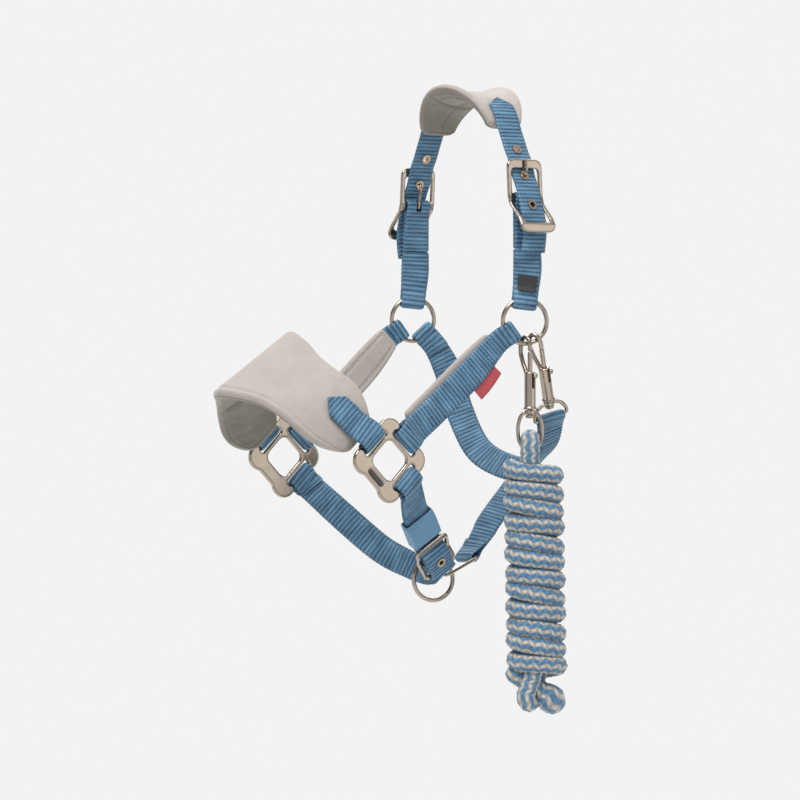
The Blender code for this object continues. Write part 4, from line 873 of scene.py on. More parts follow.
def poll_surface(u, v, depth):
    """Point of the poll pad: u -1 near to 1 far, v -1 front to 1 rear, depth out of the head."""
    angle = u * POLL_END_ANGLE
    half_width = POLL_HALF_WIDTH_END
    half_width += (POLL_HALF_WIDTH_MIDDLE - POLL_HALF_WIDTH_END) * math.cos(u * math.pi / 2) ** 1.5
    out = Vector((0, POLL_RISE * math.sin(angle), POLL_HALF_SPAN * math.cos(angle))).normalized()
    point = Vector((v * half_width, POLL_HALF_SPAN * math.sin(angle),
                    POLL_RISE * (math.cos(angle) - 1)))
    flare = POLL_FLARE * max(abs(v) - 0.2, 0) ** 2 * math.cos(u * math.pi / 2)
    corner = 2.2 * abs(v) ** 4 * u * abs(u) ** 9
    along = Vector((0, -math.cos(angle) * POLL_HALF_SPAN,
                    math.sin(angle) * POLL_RISE)).normalized()
    return point + out * (depth + flare) + along * corner


# Near half of the nose pad's inner face, from the bridge of the nose to the fitting
NOSE_FRONT = [(-203.5, 0, -208.4), (-200.6, -12, -209.6), (-195.5, -24, -211.8),
              (-190.8, -36, -216.0), (-184.5, -47, -223.5), (-176, -53, -232.8),
              (-165, -55.4, -239.5), (-152, -54.9, -243.0), (-142, -53.0, -242.5)]
NOSE_REAR = [(-143.1, 0, -165.5), (-140.6, -11, -173), (-139.0, -23, -183), (-134, -36, -192.0),
             (-129, -46, -198), (-126.3, -51.5, -205), (-124.6, -53.8, -212),
             (-123.7, -54.2, -219), (-123.5, -53.0, -225)]
NOSE_FRONT_LINE = Route(NOSE_FRONT, [Vector((0, 0, 1))] * len(NOSE_FRONT))
NOSE_REAR_LINE = Route(NOSE_REAR, [Vector((0, 0, 1))] * len(NOSE_REAR))


def nose_point(u, v):
    """Point of the inner face: u -1 near to 1 far, v -1 front to 1 rear."""
    front = NOSE_FRONT_LINE.at(abs(u) * NOSE_FRONT_LINE.length)[0]
    rear = NOSE_REAR_LINE.at(abs(u) * NOSE_REAR_LINE.length)[0]
    point = front.lerp(rear, (v + 1) / 2)
    if u <= 0:
        return Vector((point.x, -abs(point.y), point.z))
    tuck = NOSE_FAR_TUCK * math.sin(math.pi * min(u, 1.0)) ** 2 * (1 - v) / 2
    return Vector((point.x + tuck, abs(point.y), point.z))


def nose_surface(u, v, depth):
    """Point of the nose pad at a depth out of the head."""
    along = nose_point(u + 0.03, v) - nose_point(u - 0.03, v)
    edge_to_edge = nose_point(u, 1) - nose_point(u, -1)
    return nose_point(u, v) + edge_to_edge.cross(along).normalized() * depth


def rounded_uv(u, v, power=9.0):
    """Round a square patch's corners."""
    largest = max(abs(u), abs(v))
    if largest == 0:
        return u, v
    stretch = ((abs(u) / largest) ** power + (abs(v) / largest) ** power) ** (1 / power)
    pull = 1 - (1 - 1 / stretch) * largest ** 4
    return u * pull, v * pull


def seam_sink(u, v, edge, size, seams, border):
    """How deep the stitching pulls a pad's face in, edge being the distance from the pad's edge."""
    sink = BORDER_SINK * math.exp(-((edge - BORDER_SEAM) / BORDER_SPREAD) ** 2) if border else 0.0
    for seam in seams:
        gap = seam(u, v) * size[0] / 2
        sink = max(sink, SEAM_SINK * math.exp(-(gap / SEAM_SPREAD) ** 2) * min(edge / BORDER_SEAM, 1))
    return sink


def pillow(surface, depth, size, counts, seams, outer_seam):
    """Points of a pad's two faces with a rolled edge, its seams sunk in; also which points are sewn."""
    rows, columns = counts
    sheets, sewn = [], []
    for outside in (True, False):
        sheet = np.zeros((rows + 1, columns + 1, 3))
        held = np.zeros((rows + 1, columns + 1), bool)
        for i in range(rows + 1):
            for j in range(columns + 1):
                across, along = 2 * i / rows - 1, 2 * j / columns - 1
                u, v = rounded_uv(across, along)
                edge = min((1 - abs(across)) * size[0] / 2, (1 - abs(along)) * size[1] / 2)
                roll = math.sqrt(max(0.0, 1 - (1 - min(edge / EDGE_ROUND, 1)) ** 2))
                level = depth * 0.5 + (depth / 2 if outside else -depth / 2) * roll
                sink = seam_sink(u, v, edge, size, () if outside else seams,
                                 not outside or (outer_seam and v < 0 and edge > 0))
                level -= sink if outside else -sink
                held[i, j] = sink > SEWN_SINK or edge < 1.0
                sheet[i, j] = surface(u, v, level)
        sheets.append(sheet)
        sewn.append(held)
    return sheets, sewn


def pad_mesh(name, sheets, sewn):
    """Closed mesh of both faces, with a vertex group for what the seams hold."""
    rows, columns = sheets[0].shape[:2]
    count = rows * columns
    verts = np.vstack((sheets[0].reshape(-1, 3), sheets[1].reshape(-1, 3))) * MM
    index = np.arange(count).reshape(rows, columns)
    quads = np.stack((index[:-1, :-1], index[1:, :-1], index[1:, 1:], index[:-1, 1:]),
                     axis=-1).reshape(-1, 4)
    faces = np.vstack((quads, quads[:, ::-1] + count))
    mesh = bpy.data.meshes.new(name)
    mesh.from_pydata(verts.tolist(), [], faces.tolist())
    for polygon in mesh.polygons[len(quads):]:
        polygon.material_index = 1
    bm = bmesh.new()
    bm.from_mesh(mesh)
    group = bm.verts.layers.float.new("sewn")
    bm.verts.ensure_lookup_table()
    for vertex, held in zip(bm.verts, np.concatenate([s.ravel() for s in sewn])):
        vertex[group] = float(held)
    bmesh.ops.remove_doubles(bm, verts=bm.verts, dist=2e-5)
    bmesh.ops.recalc_face_normals(bm, faces=bm.faces)
    bm.to_mesh(mesh)
    bm.free()
    return mesh


def puff(obj, limit):
    """Inflate a pad between its seams with cloth, let no point move more than limit, and apply it."""
    rest = np.array([v.co for v in obj.data.vertices])
    held = np.zeros(len(rest))
    obj.data.attributes["sewn"].data.foreach_get("value", held)
    group = obj.vertex_groups.new(name="pinned")
    group.add([int(i) for i in np.nonzero(held > 0.5)[0]], 1.0, 'ADD')
    modifier = obj.modifiers.new("cloth", 'CLOTH')
    cloth = modifier.settings
    cloth.quality = 5
    cloth.mass = 0.15
    cloth.tension_stiffness = 12
    cloth.compression_stiffness = 12
    cloth.bending_stiffness = 0.4
    cloth.use_pressure = True
    cloth.uniform_pressure_force = PAD_PRESSURE
    cloth.vertex_group_mass = "pinned"
    cloth.effector_weights.gravity = 0.0
    modifier.collision_settings.use_collision = False
    scene = bpy.context.scene
    for step in range(1, PAD_STEPS + 1):
        scene.frame_set(step)
    graph = bpy.context.evaluated_depsgraph_get()
    swollen = obj.evaluated_get(graph).to_mesh()
    moved = np.array([v.co for v in swollen.vertices]) - rest
    far = np.linalg.norm(moved, axis=1)
    scale = limit * MM * np.tanh(far / (limit * MM)) / np.maximum(far, 1e-9)
    obj.evaluated_get(graph).to_mesh_clear()
    obj.modifiers.clear()
    obj.vertex_groups.clear()
    obj.data.vertices.foreach_set("co", (rest + moved * scale[:, None]).astype(np.float32).ravel())
    scene.frame_set(1)


def make_pad(name, surface, depth, size, counts, replaced, seams=(), outer_seam=False, lined=False):
    """Velvet pad; a lined one is quilted inside and swells between its seams."""
    sheets, sewn = pillow(surface, depth, size, counts, seams, outer_seam)
    mesh = pad_mesh(name, sheets, sewn)
    inner = np.zeros(len(mesh.polygons), np.int32)
    mesh.polygons.foreach_get("material_index", inner)
    obj = add_piece(name, mesh, "velvet", "headcollar", replaced)
    if lined:
        mesh.materials.append(MATERIALS["lining"])
        mesh.polygons.foreach_set("material_index", inner)
    if lined:
        puff(obj, PAD_SWELL)
    subdivide = obj.modifiers.new("smooth", 'SUBSURF')
    subdivide.levels = 1
    subdivide.render_levels = 1
    obj.data.shade_smooth()
    return obj


def pad_seam(surface, u_of, v_of, depth, inwards, count=120):
    """A stitched line on a pad, given by u and v along it."""
    spots, normals = [], []
    for i in range(count + 1):
        t = i / count
        u, v = rounded_uv(u_of(t), v_of(t))
        low, high = surface(u, v, depth), surface(u, v, depth + 1)
        spots.append(low)
        normals.append((low - high) if inwards else (high - low))
    return spots, normals


def border_runs(surface, size, depth, inwards, sides="abcd"):
    """Stitching all round, one border width in from the edge; sides picks a: front, b: rear, c, d: ends."""
    u_in = 1 - 2 * BORDER_SEAM / size[0]
    v_in = 1 - 2 * BORDER_SEAM / size[1]
    runs = {
        "a": (lambda t: u_in * (2 * t - 1), lambda t: -v_in),
        "b": (lambda t: u_in * (2 * t - 1), lambda t: v_in),
        "c": (lambda t: -u_in, lambda t: v_in * (2 * t - 1)),
        "d": (lambda t: u_in, lambda t: v_in * (2 * t - 1)),
    }
    return [pad_seam(surface, *runs[s], depth, inwards) for s in sides]


def make_pads():
    poll_seams = [lambda u, v: abs(abs(u) - 0.30 - 0.10 * v), lambda u, v: abs(v) * 0.55 + 0.02]
    make_pad("poll_pad", poll_surface, PAD_DEPTH, POLL_SIZE, POLL_GRID,
             ("poll_pad_lining", "poll_pad_foam", "poll_pad_cover"), poll_seams, lined=True)
    nose_seams = [lambda u, v: abs(abs(u) - 0.42), lambda u, v: abs(u)]
    make_pad("nose_pad", nose_surface, PAD_DEPTH, NOSE_SIZE, NOSE_GRID,
             ("nose_pad_lining", "nose_pad_foam", "nose_pad_cover"), nose_seams, True, True)
    stitching("poll_pad_stitching", border_runs(poll_surface, POLL_SIZE, STITCH_DEPTH, True), "velvet")
    runs = border_runs(nose_surface, NOSE_SIZE, STITCH_DEPTH, True)
    runs += border_runs(nose_surface, NOSE_SIZE, PAD_DEPTH - STITCH_DEPTH, False, "a")
    stitching("nose_pad_stitching", runs, "velvet")


# ---------------------------------------------------------------- crown, billets and tabs

CROWN_LINE = [(37.2, -3.4), (40.6, -7.0), (44.3, -13.3), (47.4, -20.5), (51.3, -28),
              (55.4, -36), (59.6, -42.6), (62.0, -48.8), (64.0, -54.2), (68.2, -61.5),
              (71.4, -69), (73.6, -76), (75.9, -83), (77.4, -89.5), (77.0, -97), (75.2, -107)]
CROWN_EYELETS = (-36.0, -54.2, -74.5)
CROWN_TIPS = (7.5, 0.0)
CROWN_SEWN = 21

# Where each tab lies on the nose pad, from the fitting to its sewn end
NOSE_TAB_STATIONS = ((0.85, 0.17), (0.775, 0.14), (0.70, 0.11))
NOSE_TIPS = (0.0, 9.0)


def side_name(side):
    return "near" if side < 0 else "far"


def on_side(side, forward, outboard, height):
    return Vector((forward, side * outboard, height))


def crown_strap(side):
    """Punched strap with its pointed end sewn on the poll pad."""
    name = side_name(side)
    across = Vector((1, 0, 0)) * -side
    route = Route([on_side(side, 0, o, h) for o, h in CROWN_LINE], [across] * len(CROWN_LINE))
    rows = strap_rows(route, (None, None))
    strap = fine_strap(name + "_crown_webbing", rows, name + "_crown_strap", tips=CROWN_TIPS)
    for height in CROWN_EYELETS:
        point, _, _, out = route.at(route.length_at_height(height))
        punch(strap, point, out, HOLE_RADIUS)
    runs = strap_edges(route, 0.5, CROWN_SEWN)
    runs += [strap_bar(route, CROWN_SEWN, SEAM_INSET, SINGLE_LIFT)] + point_runs(route, 0, -5.4)
    stitching(name + "_crown_stitching", runs)


def billet(side):
    """Doubled strap from the buckle's bar down to the side ring."""
    name = side_name(side)
    ring_top = (NEAR_RING if side < 0 else FAR_RING) + Vector((0, 0, RING_RADIUS))
    bar = on_side(side, 0, BAR_OUT, BAR_HEIGHT)
    points = [bar, on_side(side, 0, 66.6, -80), on_side(side, 0, 67.6, -97),
              on_side(side, 0, 68.6, -118), ring_top]
    start = Vector((1, 0, 0)) * -side
    end = RING_ACROSS * -side
    across = [start, start, start.lerp(end, 0.35), start.lerp(end, 0.8), end * 0.83]
    route = Route(points, across)
    half = route.length / 2 - 0.6
    folds = (Fold(BAR_RADIUS + 0.45, back=half), Fold(RING_WIRE, RING_RADIUS, half))
    strap = fine_strap(name + "_billet_webbing", strap_rows(route, folds), name + "_billet",
                       ring_radius=RING_RADIUS)
    punch_slot(strap, bar, route.at(0)[1], start, 4.6)
    runs = []
    for face in (-1, 1):
        runs += strap_box(route, 15.0, 34.0, FRONT_LIFT, face)
        runs += strap_box(route, 43.0, -12.0, FRONT_LIFT, face)
    stitching(name + "_billet_stitching", runs)
    return route, folds


def ring_exit(centre, degrees):
    """Point on a side ring's wire, the way out from its centre, and the wire's own direction."""
    angle = math.radians(degrees)
    up = Vector((0, 0, 1))
    out = RING_ACROSS * math.cos(angle) + up * math.sin(angle)
    return centre + out * RING_RADIUS, out, RING_ACROSS * -math.sin(angle) + up * math.cos(angle)


def slot_bar(side, slot):
    """Middle of a fitting slot's outer bar, the way out through it, and the line along it."""
    centre = NEAR_FITTING if side < 0 else FAR_FITTING
    angle = math.radians(SLOT_ANGLES[slot])
    out = Vector((math.cos(angle), 0, math.sin(angle)))
    return centre + out * FITTING_BAR, out, Vector((-out.z, 0, out.x))


def cheek(side):
    """Cheek strap folded round ring and fitting, over its own narrow pad."""
    name = side_name(side)
    ring_centre = NEAR_RING if side < 0 else FAR_RING
    top, top_out, top_across = ring_exit(ring_centre, CHEEK_AT)
    low, low_out, low_across = slot_bar(side, "cheek")
    points = [top, top + top_out * 10, top.lerp(low, 0.35) + Vector((0, side * 0.5, 0)),
              top.lerp(low, 0.7), low + low_out * 10, low]
    start = top_across * -side
    end = low_across * side
    if start.dot(end) < 0:
        end = -end
    route = Route(points, [start.lerp(end, i / 5) * g for i, g in enumerate(CHEEK_GATHER)])
    folds = (Fold(RING_WIRE, RING_RADIUS, 13.0), Fold(FITTING_WRAP, back=12.0, hold=FITTING_HOLD))
    fine_strap(name + "_cheek_webbing", strap_rows(route, folds), name + "_cheek_strap",
               ring_radius=RING_RADIUS)
    first, last = CHEEK_PAD_START, route.length - 12.0

    def surface(u, v, depth):
        length = first + (last - first) * (u + 1) / 2
        point, _, across, out = route.at(length)
        upward = across * side * (CHEEK_PAD_MIDDLE + CHEEK_PAD_HALF * v)
        lift = 2 * LAYER_OFFSET + WEB_THICK / 2 + GAP + CHEEK_PAD_THICK - depth
        return point - out * lift + upward

    size = (last - first, 2 * CHEEK_PAD_HALF)
    make_pad(name + "_cheek_padding", surface, CHEEK_PAD_THICK, size, CHEEK_GRID, (name + "_cheek_pad",))
    stitching(name + "_cheek_pad_stitching", border_runs(surface, size, 0.6, True), "velvet")
    runs = strap_box(route, 12.0, 24.0, FRONT_LIFT)
    runs += strap_box(route, -26.0, -13.0, FRONT_LIFT)
    runs += strap_edges(route, 34, -36)
    stitching(name + "_cheek_stitching", runs)
    return route, folds


def nose_tab(side):
    """Pointed tab on the nose pad, folded round the fitting's upper front bar."""
    name = side_name(side)
    bar, out, _ = slot_bar(side, "nose")
    sideways = Vector((0, side, 0))
    lift = PAD_DEPTH + GAP + WEB_THICK / 2 + 1.0
    points = [bar, bar + out * 5 + sideways * 1.4]
    points += [nose_surface(side * u, v, lift) for u, v in NOSE_TAB_STATIONS]
    normals = [sideways, sideways]
    normals += [nose_surface(side * u, v, 1) - nose_surface(side * u, v, 0)
                for u, v in NOSE_TAB_STATIONS]
    across = []
    for i, normal in enumerate(normals):
        along = points[min(i + 1, len(points) - 1)] - points[max(i - 1, 0)]
        across.append(Vector(normal).cross(along).normalized())
    route = Route(points, across)
    folds = (Fold(FITTING_WRAP, back=2.0, hold=FITTING_HOLD), None)
    fine_strap(name + "_nose_webbing", strap_rows(route, folds), name + "_nose_tab", tips=NOSE_TIPS)
    runs = strap_edges(route, 12, -0.5)
    runs += [strap_bar(route, 12, SEAM_INSET, 1.6)] + point_runs(route, route.length, 6.8)
    stitching(name + "_nose_stitching", runs)


# ---------------------------------------------------------------- labels

def tape_on(name, route, folds, start, stop, low, high, lift, node):
    """A short folded tape along a strap, from one offset across it to another."""
    rows = layer_rows(route, start, stop, 1, folds)
    middle = (low + high) / 2
    moved = []
    for i, (point, across, _) in enumerate(rows):
        out = route.at(start + (stop - start) * i / (len(rows) - 1))[3]
        moved.append((point + out * lift + across * middle, across, Vector()))
    fine_strap(name, moved, node, node, half_width=(high - low) / 2, thick=TAPE_THICK, ribs=TAPE_RIBS)


# ---------------------------------------------------------------- chin and throat

# The far chin strap: under the chin, then in the chin buckle's own down and out directions
FAR_CHIN_BEND = [(-81.5, 48.5, -284.0), (-57.1, 28, -311.2), (-44.0, 8, -323.0), (-39.5, -8, -329.2),
                 (-39.6, -18.8, -329.1)]
FAR_CHIN_TAIL = [(28.8, 3.1), (25, 3.6), (19.0, 4.1), (14.8, 4.15), (10.2, 4.15), (5.6, 1.1), (3.3, -1.9),
                 (0, -3.0), (-4, -2.7), (-20, -2.5)]
FAR_CHIN_ACROSS = Vector((0.37, -0.32, 0.86))

# The throat strap between the far ring and the snap's eye, and the direction across it
THROAT_LINE = [(22.2, 57, -190), (27.0, 52, -214.7), (29.3, 32, -242), (36.2, 8, -254.0),
               (38.4, -18, -255.0), (35.5, -42, -242.5)]
THROAT_ACROSS = [(0.72, -0.33, 0.61), (0.707, -0.33, 0.63), (0.6, 0, 0.75), (0.56, 0, 0.80),
                 (0.60, 0, 0.78), (0.80, -0.1, 0.55)]
THROAT_GATHER = (0.80, 0.86, 1, 1, 1, 1, 1, 1, 1)
CONNECTOR_AT = Vector((37.5, -5, -255))
CONNECTOR_ACROSS = Vector((-0.36, 0.91, 0.21))


def chin_point(down, out):
    return CHIN_ENTRY + CHIN_DOWN * down + CHIN_OUT * out


def near_chin_strap():
    """Short doubled strap from the near fitting to the chin buckle."""
    start, out, across = slot_bar(-1, "chin")
    bar = chin_point(CHIN_BAR_AT, -CHIN_BAR_DIP)
    middle = start.lerp(chin_point(-28, CHIN_STRAP_DEPTH), 0.5) + Vector((0, -1.5, 0))
    points = [start, start + out * 5, middle, chin_point(-28, CHIN_STRAP_DEPTH),
              chin_point(-14, CHIN_STRAP_DEPTH), chin_point(0, CHIN_STRAP_DEPTH), bar]
    first = across if across.dot(CHIN_ACROSS) > 0 else -across
    route = Route(points, [first, first, first.lerp(CHIN_ACROSS, 0.5)] + [CHIN_ACROSS] * 4)
    half = route.length / 2 - 0.6
    folds = (Fold(FITTING_WRAP, back=half, hold=FITTING_HOLD), Fold(1.75, back=half))
    strap = fine_strap("near_chin_webbing", strap_rows(route, folds), "near_chin_strap")
    punch_slot(strap, bar, CHIN_DOWN, CHIN_ACROSS, 4.6)
    runs = strap_box(route, 10, 22, FRONT_LIFT) + strap_box(route, 10, 22, FRONT_LIFT, -1)
    stitching("near_chin_stitching", runs)


def far_chin_strap():
    """Long punched strap from the far fitting, under the chin and up through the buckle."""
    start, out, across = slot_bar(1, "chin")
    points = [start, start + out * 6, start + out * 11 + Vector((0, -2.5, 0))]
    points += [Vector(p) for p in FAR_CHIN_BEND]
    points += [chin_point(down, depth) for down, depth in FAR_CHIN_TAIL]
    first = across if across.z > 0 else -across
    far = FAR_CHIN_ACROSS
    bent = CHIN_ACROSS.lerp(far, 0.5)
    across = [-first, -first, -first, -far, -far, -far * 0.95, -bent * 0.82, -bent * 0.82]
    across += [-CHIN_ACROSS] * len(FAR_CHIN_TAIL)
    route = Route(points, across)
    folds = (Fold(FITTING_WRAP, back=13.0, hold=FITTING_HOLD), None)
    strap = fine_strap("far_chin_webbing", strap_rows(route, folds), "far_chin_strap")
    mark = min((m / 4 for m in range(int(route.length * 4))),
               key=lambda m: (route.at(m)[0] - points[len(FAR_CHIN_BEND) + 6]).length)
    point, _, _, face = route.at(mark)
    punch(strap, point, face, HOLE_RADIUS)
    stitching("far_chin_stitching", strap_box(route, 13, 26, TAIL_LIFT))


def strap_route(points, across, gather, outside):
    """Route whose face looks towards outside at its start; gather narrows it."""
    points = [Vector(p) for p in points]
    across = [Vector(a).normalized() * g for a, g in zip(across, gather)]
    route = Route(points, across)
    if route.at(0)[3].dot(outside) < 0:
        route = Route(points, [-a for a in across])
    return route


def throat_strap():
    """Strap from the far ring round under the throat to the throat snap's eye."""
    start, out, tangent = ring_exit(FAR_RING, -50)
    start_across = tangent if tangent.z > 0 else -tangent
    points = [start, start + out * 12] + THROAT_LINE + [THROAT_BAR]
    across = [start_across, start_across] + THROAT_ACROSS + [THROAT_BAR_ALONG]
    route = strap_route(points, across, THROAT_GATHER, Vector((0, 1, 0)))
    folds = (Fold(RING_WIRE, RING_RADIUS, 13.0), Fold(EYE_WIRE + 0.15, back=12.0))
    fine_strap("throat_webbing", strap_rows(route, folds), "throat_strap", ring_radius=RING_RADIUS)
    runs = strap_box(route, 12, 23, FRONT_LIFT)
    runs += strap_box(route, -24, -12, FRONT_LIFT)
    stitching("throat_stitching", runs)
    return route


def connector_strap(throat):
    """Strap sewn on the throat strap, forward to the wire ring at the chin."""
    length = min(range(int(throat.length)),
                 key=lambda i: (throat.at(i)[0] - CONNECTOR_AT).length)
    point, along, across, out = throat.at(length)
    up = across if across.z > 0 else -across
    seat = point + out * (LAYER_OFFSET + WEB_THICK + GAP)
    points = [seat + up * 6, seat - up * 4, seat - up * 13, seat.lerp(LINK_HIGH, 0.6), LINK_HIGH]
    middle = CONNECTOR_ACROSS
    width = [along, along, along.lerp(-middle, 0.5), -middle, Vector((0, -1, 0))]
    route = strap_route(points, width, [1.0] * 5, out)
    folds = (None, Fold(LINK_WIRE + 0.3, back=14.0))
    fine_strap("connector_webbing", strap_rows(route, folds), "connector_strap")
    runs = strap_box(route, 2.0, 12.0, SINGLE_LIFT)
    runs += strap_box(route, -24, -12, TAIL_LIFT)
    stitching("connector_stitching", runs)


# ---------------------------------------------------------------- lead rope

def eye_loop():
    """Up, through the snap's eye and down again."""
    centre = EYE_AXIS + Vector((0, 0, EYE_BOTTOM))
    line = [centre + VIEW_DEEP * -EYE_LOOP_RADIUS + Vector((0, 0, -12.0)),
            centre + VIEW_DEEP * -EYE_LOOP_RADIUS + Vector((0, 0, -5.0))]
    for step in range(9):
        angle = math.radians(180 - 22.5 * step)
        line.append(centre + VIEW_DEEP * math.cos(angle) * EYE_LOOP_RADIUS
                    + Vector((0, 0, math.sin(angle) * EYE_LOOP_RADIUS)))
    line.append(centre + VIEW_DEEP * EYE_LOOP_RADIUS + Vector((0, 0, -6.0)))
    return line


def core():
    """Down the middle of the hank, round the lower bight and up again."""
    across = VIEW_ACROSS * 0.35 + VIEW_DEEP * 0.94
    left, right = across * -CORE_ASIDE, across * CORE_ASIDE
    line = [hank_axis(height) + left * 1.1 for height in CORE_HEIGHTS_DOWN]
    line.append(hank_axis(-396) + left * 2.2)
    for degrees in (180, 225, 270, 315, 360):
        angle = math.radians(degrees)
        line.append(BIGHT_CENTRE + across * math.cos(angle) * ROPE_RADIUS
                    + Vector((0, 0, math.sin(angle) * BIGHT_HALF_HEIGHT)))
    return line + [hank_axis(height) + right for height in CORE_HEIGHTS_UP]


def wraps():
    """Round and round the core, each turn a little tilted and swollen in its own way."""
    line = []
    pitch = (WRAP_TOP - WRAP_BOTTOM) / ROPE_TURNS
    for step in range(ROPE_TURNS * WRAP_STEPS + 1):
        turn = step / WRAP_STEPS
        angle = 2 * math.pi * (turn - 0.22)
        tilt = 1.2 * math.sin(turn * 2.4) * math.sin(angle)
        swell = 1 + 0.02 * math.sin(turn * 3.9 + 1)
        line.append(hank_axis(WRAP_TOP - pitch * turn)
                    + VIEW_ACROSS * math.sin(angle) * WRAP_HALF_WIDTH * swell
                    - VIEW_DEEP * math.cos(angle) * WRAP_HALF_DEPTH + Vector((0, 0, tilt)))
    return line


def rope_points():
    """The rope's whole line, from the eye to its end."""
    return eye_loop() + core() + wraps() + [Vector(point) for point in KNOT_LINE]


def hank_axis(height):
    share = (HANK_TOP.z - height) / HANK_HEIGHT
    return Vector((HANK_TOP.x + HANK_LEAN * share, HANK_TOP.y, height))


def rope_frames(line):
    """Tangents and a normal that doesn't twist, along an evenly spaced line."""
    tangents = np.gradient(line, axis=0)
    tangents /= np.linalg.norm(tangents, axis=1)[:, None]
    normals = np.zeros_like(line)
    normal = np.cross(tangents[0], (0.0, 0.0, 1.0))
    if np.linalg.norm(normal) < 0.1:
        normal = np.cross(tangents[0], (1.0, 0.0, 0.0))
    for i, tangent in enumerate(tangents):
        normal = normal - tangent * normal.dot(tangent)
        normal /= np.linalg.norm(normal)
        normals[i] = normal
    return tangents, normals


def rope_line():
    """Evenly spaced points along the rope, smoothed, and how far along each one is."""
    control = np.array([tuple(p) for p in catmull(rope_points(), 8)])
    lengths = np.concatenate(([0], np.cumsum(np.linalg.norm(np.diff(control, axis=0), axis=1))))
    stations = np.linspace(0, lengths[-1], int(lengths[-1] / ROPE_STEP) + 1)
    line = np.stack([np.interp(stations, lengths, control[:, i]) for i in range(3)], axis=1)
    for _ in range(ROPE_SMOOTHING):
        line[1:-1] = (line[:-2] + 2 * line[1:-1] + line[2:]) / 4
    return line, stations


def braid(stations, angle):
    """The number of the strand at each point, and how far its stitch stands out, from 0 to 1."""
    s = stations[:, None]
    wave = np.abs(((s / STRAND_WAVE) % 1.0) * 2 - 1) * 2 - 1
    strand = (angle * ROPE_STRANDS / (2 * math.pi))[None, :] + STRAND_SWING * wave + STRAND_TWIST * s
    number = np.floor(strand)
    inside = strand - number - 0.5
    slant = np.where(number % 2 == 0, 1.0, -1.0)
    phase = 2 * math.pi * (s / (STRAND_WAVE / 2) + 0.5 * number + 0.35 * slant * inside)
    return number, (0.5 + 0.5 * np.cos(phase)) ** 0.6 * (1 - (2 * inside) ** 2 * 0.75)


def rope_fullness(stations):
    """How thick the rope is along its length: round at both ends, swollen at the end knot."""
    left = stations[-1] - stations
    start_round = np.sqrt(np.clip(1 - (1 - np.clip(stations / START_ROUNDING, 0, 1)) ** 2, 0.0004, 1))
    end_round = np.sqrt(np.clip(1 - (1 - np.clip(left / END_ROUNDING, 0, 1)) ** 2, 0.0004, 1))
    bulb = 1 + KNOT_SWELL * np.exp(-((left - KNOT_MIDDLE) / KNOT_SPREAD) ** 2)
    return (ROPE_RADIUS - STRAND_RELIEF) * bulb * start_round * end_round, start_round * end_round


def rope_mesh(line, stations):
    """Lengthwise strands of staggered stitches, blue and sand by turns, with painted shade in the grooves
    between stitches.
    """
    tangents, normals = rope_frames(line)
    binormals = np.cross(tangents, normals)
    angle = np.arange(ROPE_SEGMENTS) * 2 * math.pi / ROPE_SEGMENTS
    number, bump = braid(stations, angle)
    base, fullness = rope_fullness(stations)
    radius = base[:, None] + STRAND_RELIEF * bump * fullness[:, None]
    points = line[:, None] + (normals[:, None] * np.cos(angle)[None, :, None]
                              + binormals[:, None] * np.sin(angle)[None, :, None]) * radius[..., None]
    uvs = np.stack((np.broadcast_to(stations[:, None] * MM, radius.shape),
                    np.broadcast_to(angle * ROPE_RADIUS * MM, radius.shape)), axis=-1)
    mesh = grid_mesh("lead_rope", points, uvs, ring=True)
    colour = np.where((number % 2 == 1)[..., None], np.array(SAND), np.array(BLUE))
    # painted shade: each strand's colour darkens where its stitch sinks into a groove and brightens
    # slightly on the stitch crown
    shade = 0.50 + 0.58 * bump[..., None]
    rgba = np.concatenate((colour * shade, np.ones((*radius.shape, 1))), axis=-1)
    # the strand colour layer holds blue and sand by turns together with the painted groove shade
    layer = mesh.color_attributes.new("strand", 'FLOAT_COLOR', 'POINT')
    layer.data.foreach_set("color", rgba.astype(np.float32).ravel())
    cap_ends(mesh)
    mesh.shade_smooth()
    return mesh


def lead_rope():
    line, stations = rope_line()
    rope = add_piece("lead_rope", rope_mesh(line, stations), "rope", "lead_swivel",
                     ["lead_rope_loop", "lead_rope_hank", "lead_rope_bight", "lead_rope_knot"])
    path = [tuple(p * MM) for p in line[::3]] + [tuple(line[-1] * MM)]


# ---------------------------------------------------------------- metal and small pieces

WIRES = ("near_ring", "far_ring", "chin_ring", "connector_ring", "near_tongue", "far_tongue", "chin_tongue")
CASTINGS = ("near_buckle_frame", "far_buckle_frame", "near_fitting", "far_fitting", "chin_buckle_frame")
CASTING_VOXEL = 0.42
SNAP_VOXEL = 0.30
KEEPER_VOXEL = 0.36
CAST_SMOOTHING = 10             # rounds
WIRE_LEVELS = 2

def welded_copy(node):
    mesh = frame["nodes"][node].data.copy()
    bm = bmesh.new()
    bm.from_mesh(mesh)
    bmesh.ops.remove_doubles(bm, verts=bm.verts, dist=2e-6)
    bmesh.ops.join_triangles(bm, faces=bm.faces, angle_face_threshold=0.6, angle_shape_threshold=0.9)
    bmesh.ops.recalc_face_normals(bm, faces=bm.faces)
    bm.to_mesh(mesh)
    bm.free()
    return mesh


def apply_modifiers(obj):
    graph = bpy.context.evaluated_depsgraph_get()
    mesh = bpy.data.meshes.new_from_object(obj.evaluated_get(graph))
    obj.modifiers.clear()
    obj.data = mesh


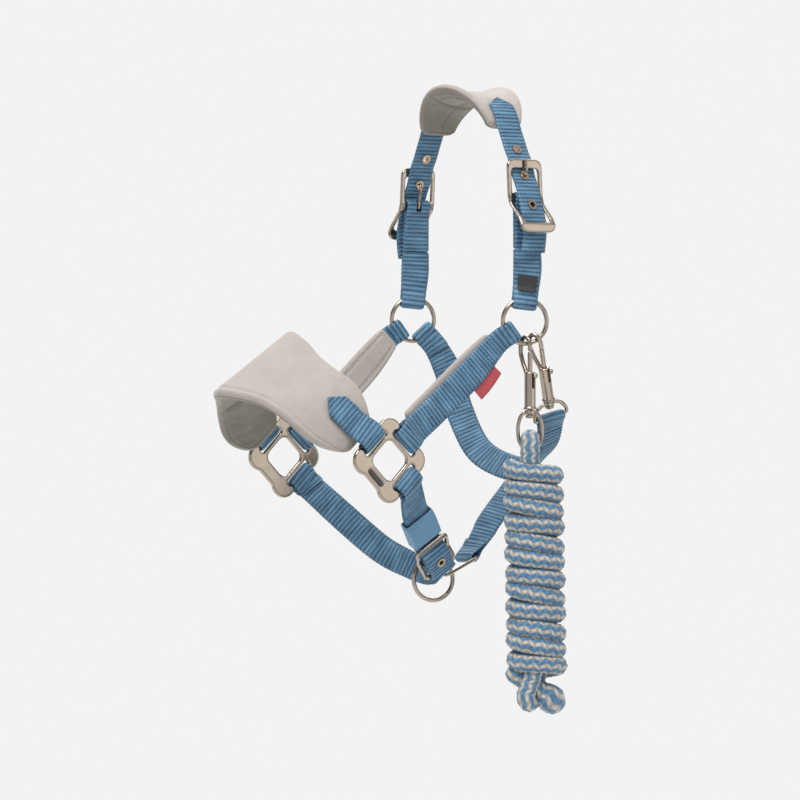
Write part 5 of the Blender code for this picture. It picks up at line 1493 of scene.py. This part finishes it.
def round_piece(node, body):
    """Drawn wire: the model's ring or rod, smoothed."""
    obj = add_piece(node + "_wire", welded_copy(node), "metal", body, [node])
    subdivide = obj.modifiers.new("smooth", 'SUBSURF')
    subdivide.levels = WIRE_LEVELS
    subdivide.render_levels = WIRE_LEVELS
    obj.data.shade_smooth()
    return obj


def cast_piece(node, body, voxel, material="metal"):
    """Die casting: the model's solid with its edges softened as a mould softens them."""
    obj = add_piece(node + "_cast", welded_copy(node), material, body, [node])
    remesh = obj.modifiers.new("remesh", 'REMESH')
    remesh.mode = 'VOXEL'
    remesh.voxel_size = voxel * MM
    remesh.use_smooth_shade = True
    soften = obj.modifiers.new("soften", 'SMOOTH')
    soften.factor = 0.5
    soften.iterations = CAST_SMOOTHING
    apply_modifiers(obj)
    return obj


def make_metal():
    bodies = {node: body for body, nodes in frame["record"]["behaviour"]["bodies"].items()
              for node in nodes}
    for node in WIRES:
        round_piece(node, bodies[node])
    for node in CASTINGS:
        cast_piece(node, bodies[node], CASTING_VOXEL)
    for snap in ("lead_snap", "throat_snap"):
        for part in ("_body", "_bolt", "_eye"):
            cast_piece(snap + part, bodies[snap + part], SNAP_VOXEL)
    cast_piece("chin_keeper", bodies["chin_keeper"], KEEPER_VOXEL, "tape")
    for node in bodies:
        for kind in ("eyelet", "plaque"):
            if kind in node:
                frame["nodes"][node].data.materials.clear()
                frame["nodes"][node].data.materials.append(MATERIALS[kind])


# ---------------------------------------------------------------- build

MATERIALS = make_materials()
make_camera()
make_world()
make_floor()
for light in LIGHTS:
    area_light(*light)
make_metal()
lead_rope()
make_pads()
for halter_side in (-1, 1):
    crown_strap(halter_side)
    nose_tab(halter_side)
billet(1)
near_billet_route, near_billet_folds = billet(-1)
cheek(1)
near_cheek_route, near_cheek_folds = cheek(-1)
tape_on("size_tape", near_billet_route, near_billet_folds, near_billet_route.length - 16.0,
        near_billet_route.length - 5.0, -7.3, 7.3, WEB_THICK / 2 + GAP + TAPE_THICK, "size_label")
tag_start = near_cheek_route.length_at_height(SIDE_TAG_HEIGHT)
tape_on("side_tape", near_cheek_route, near_cheek_folds, tag_start + SIDE_TAG_RUN[0],
        tag_start + SIDE_TAG_RUN[1], 9.0, 18.5, -1.4, "side_tag")
near_chin_strap()
far_chin_strap()
connector_strap(throat_strap())
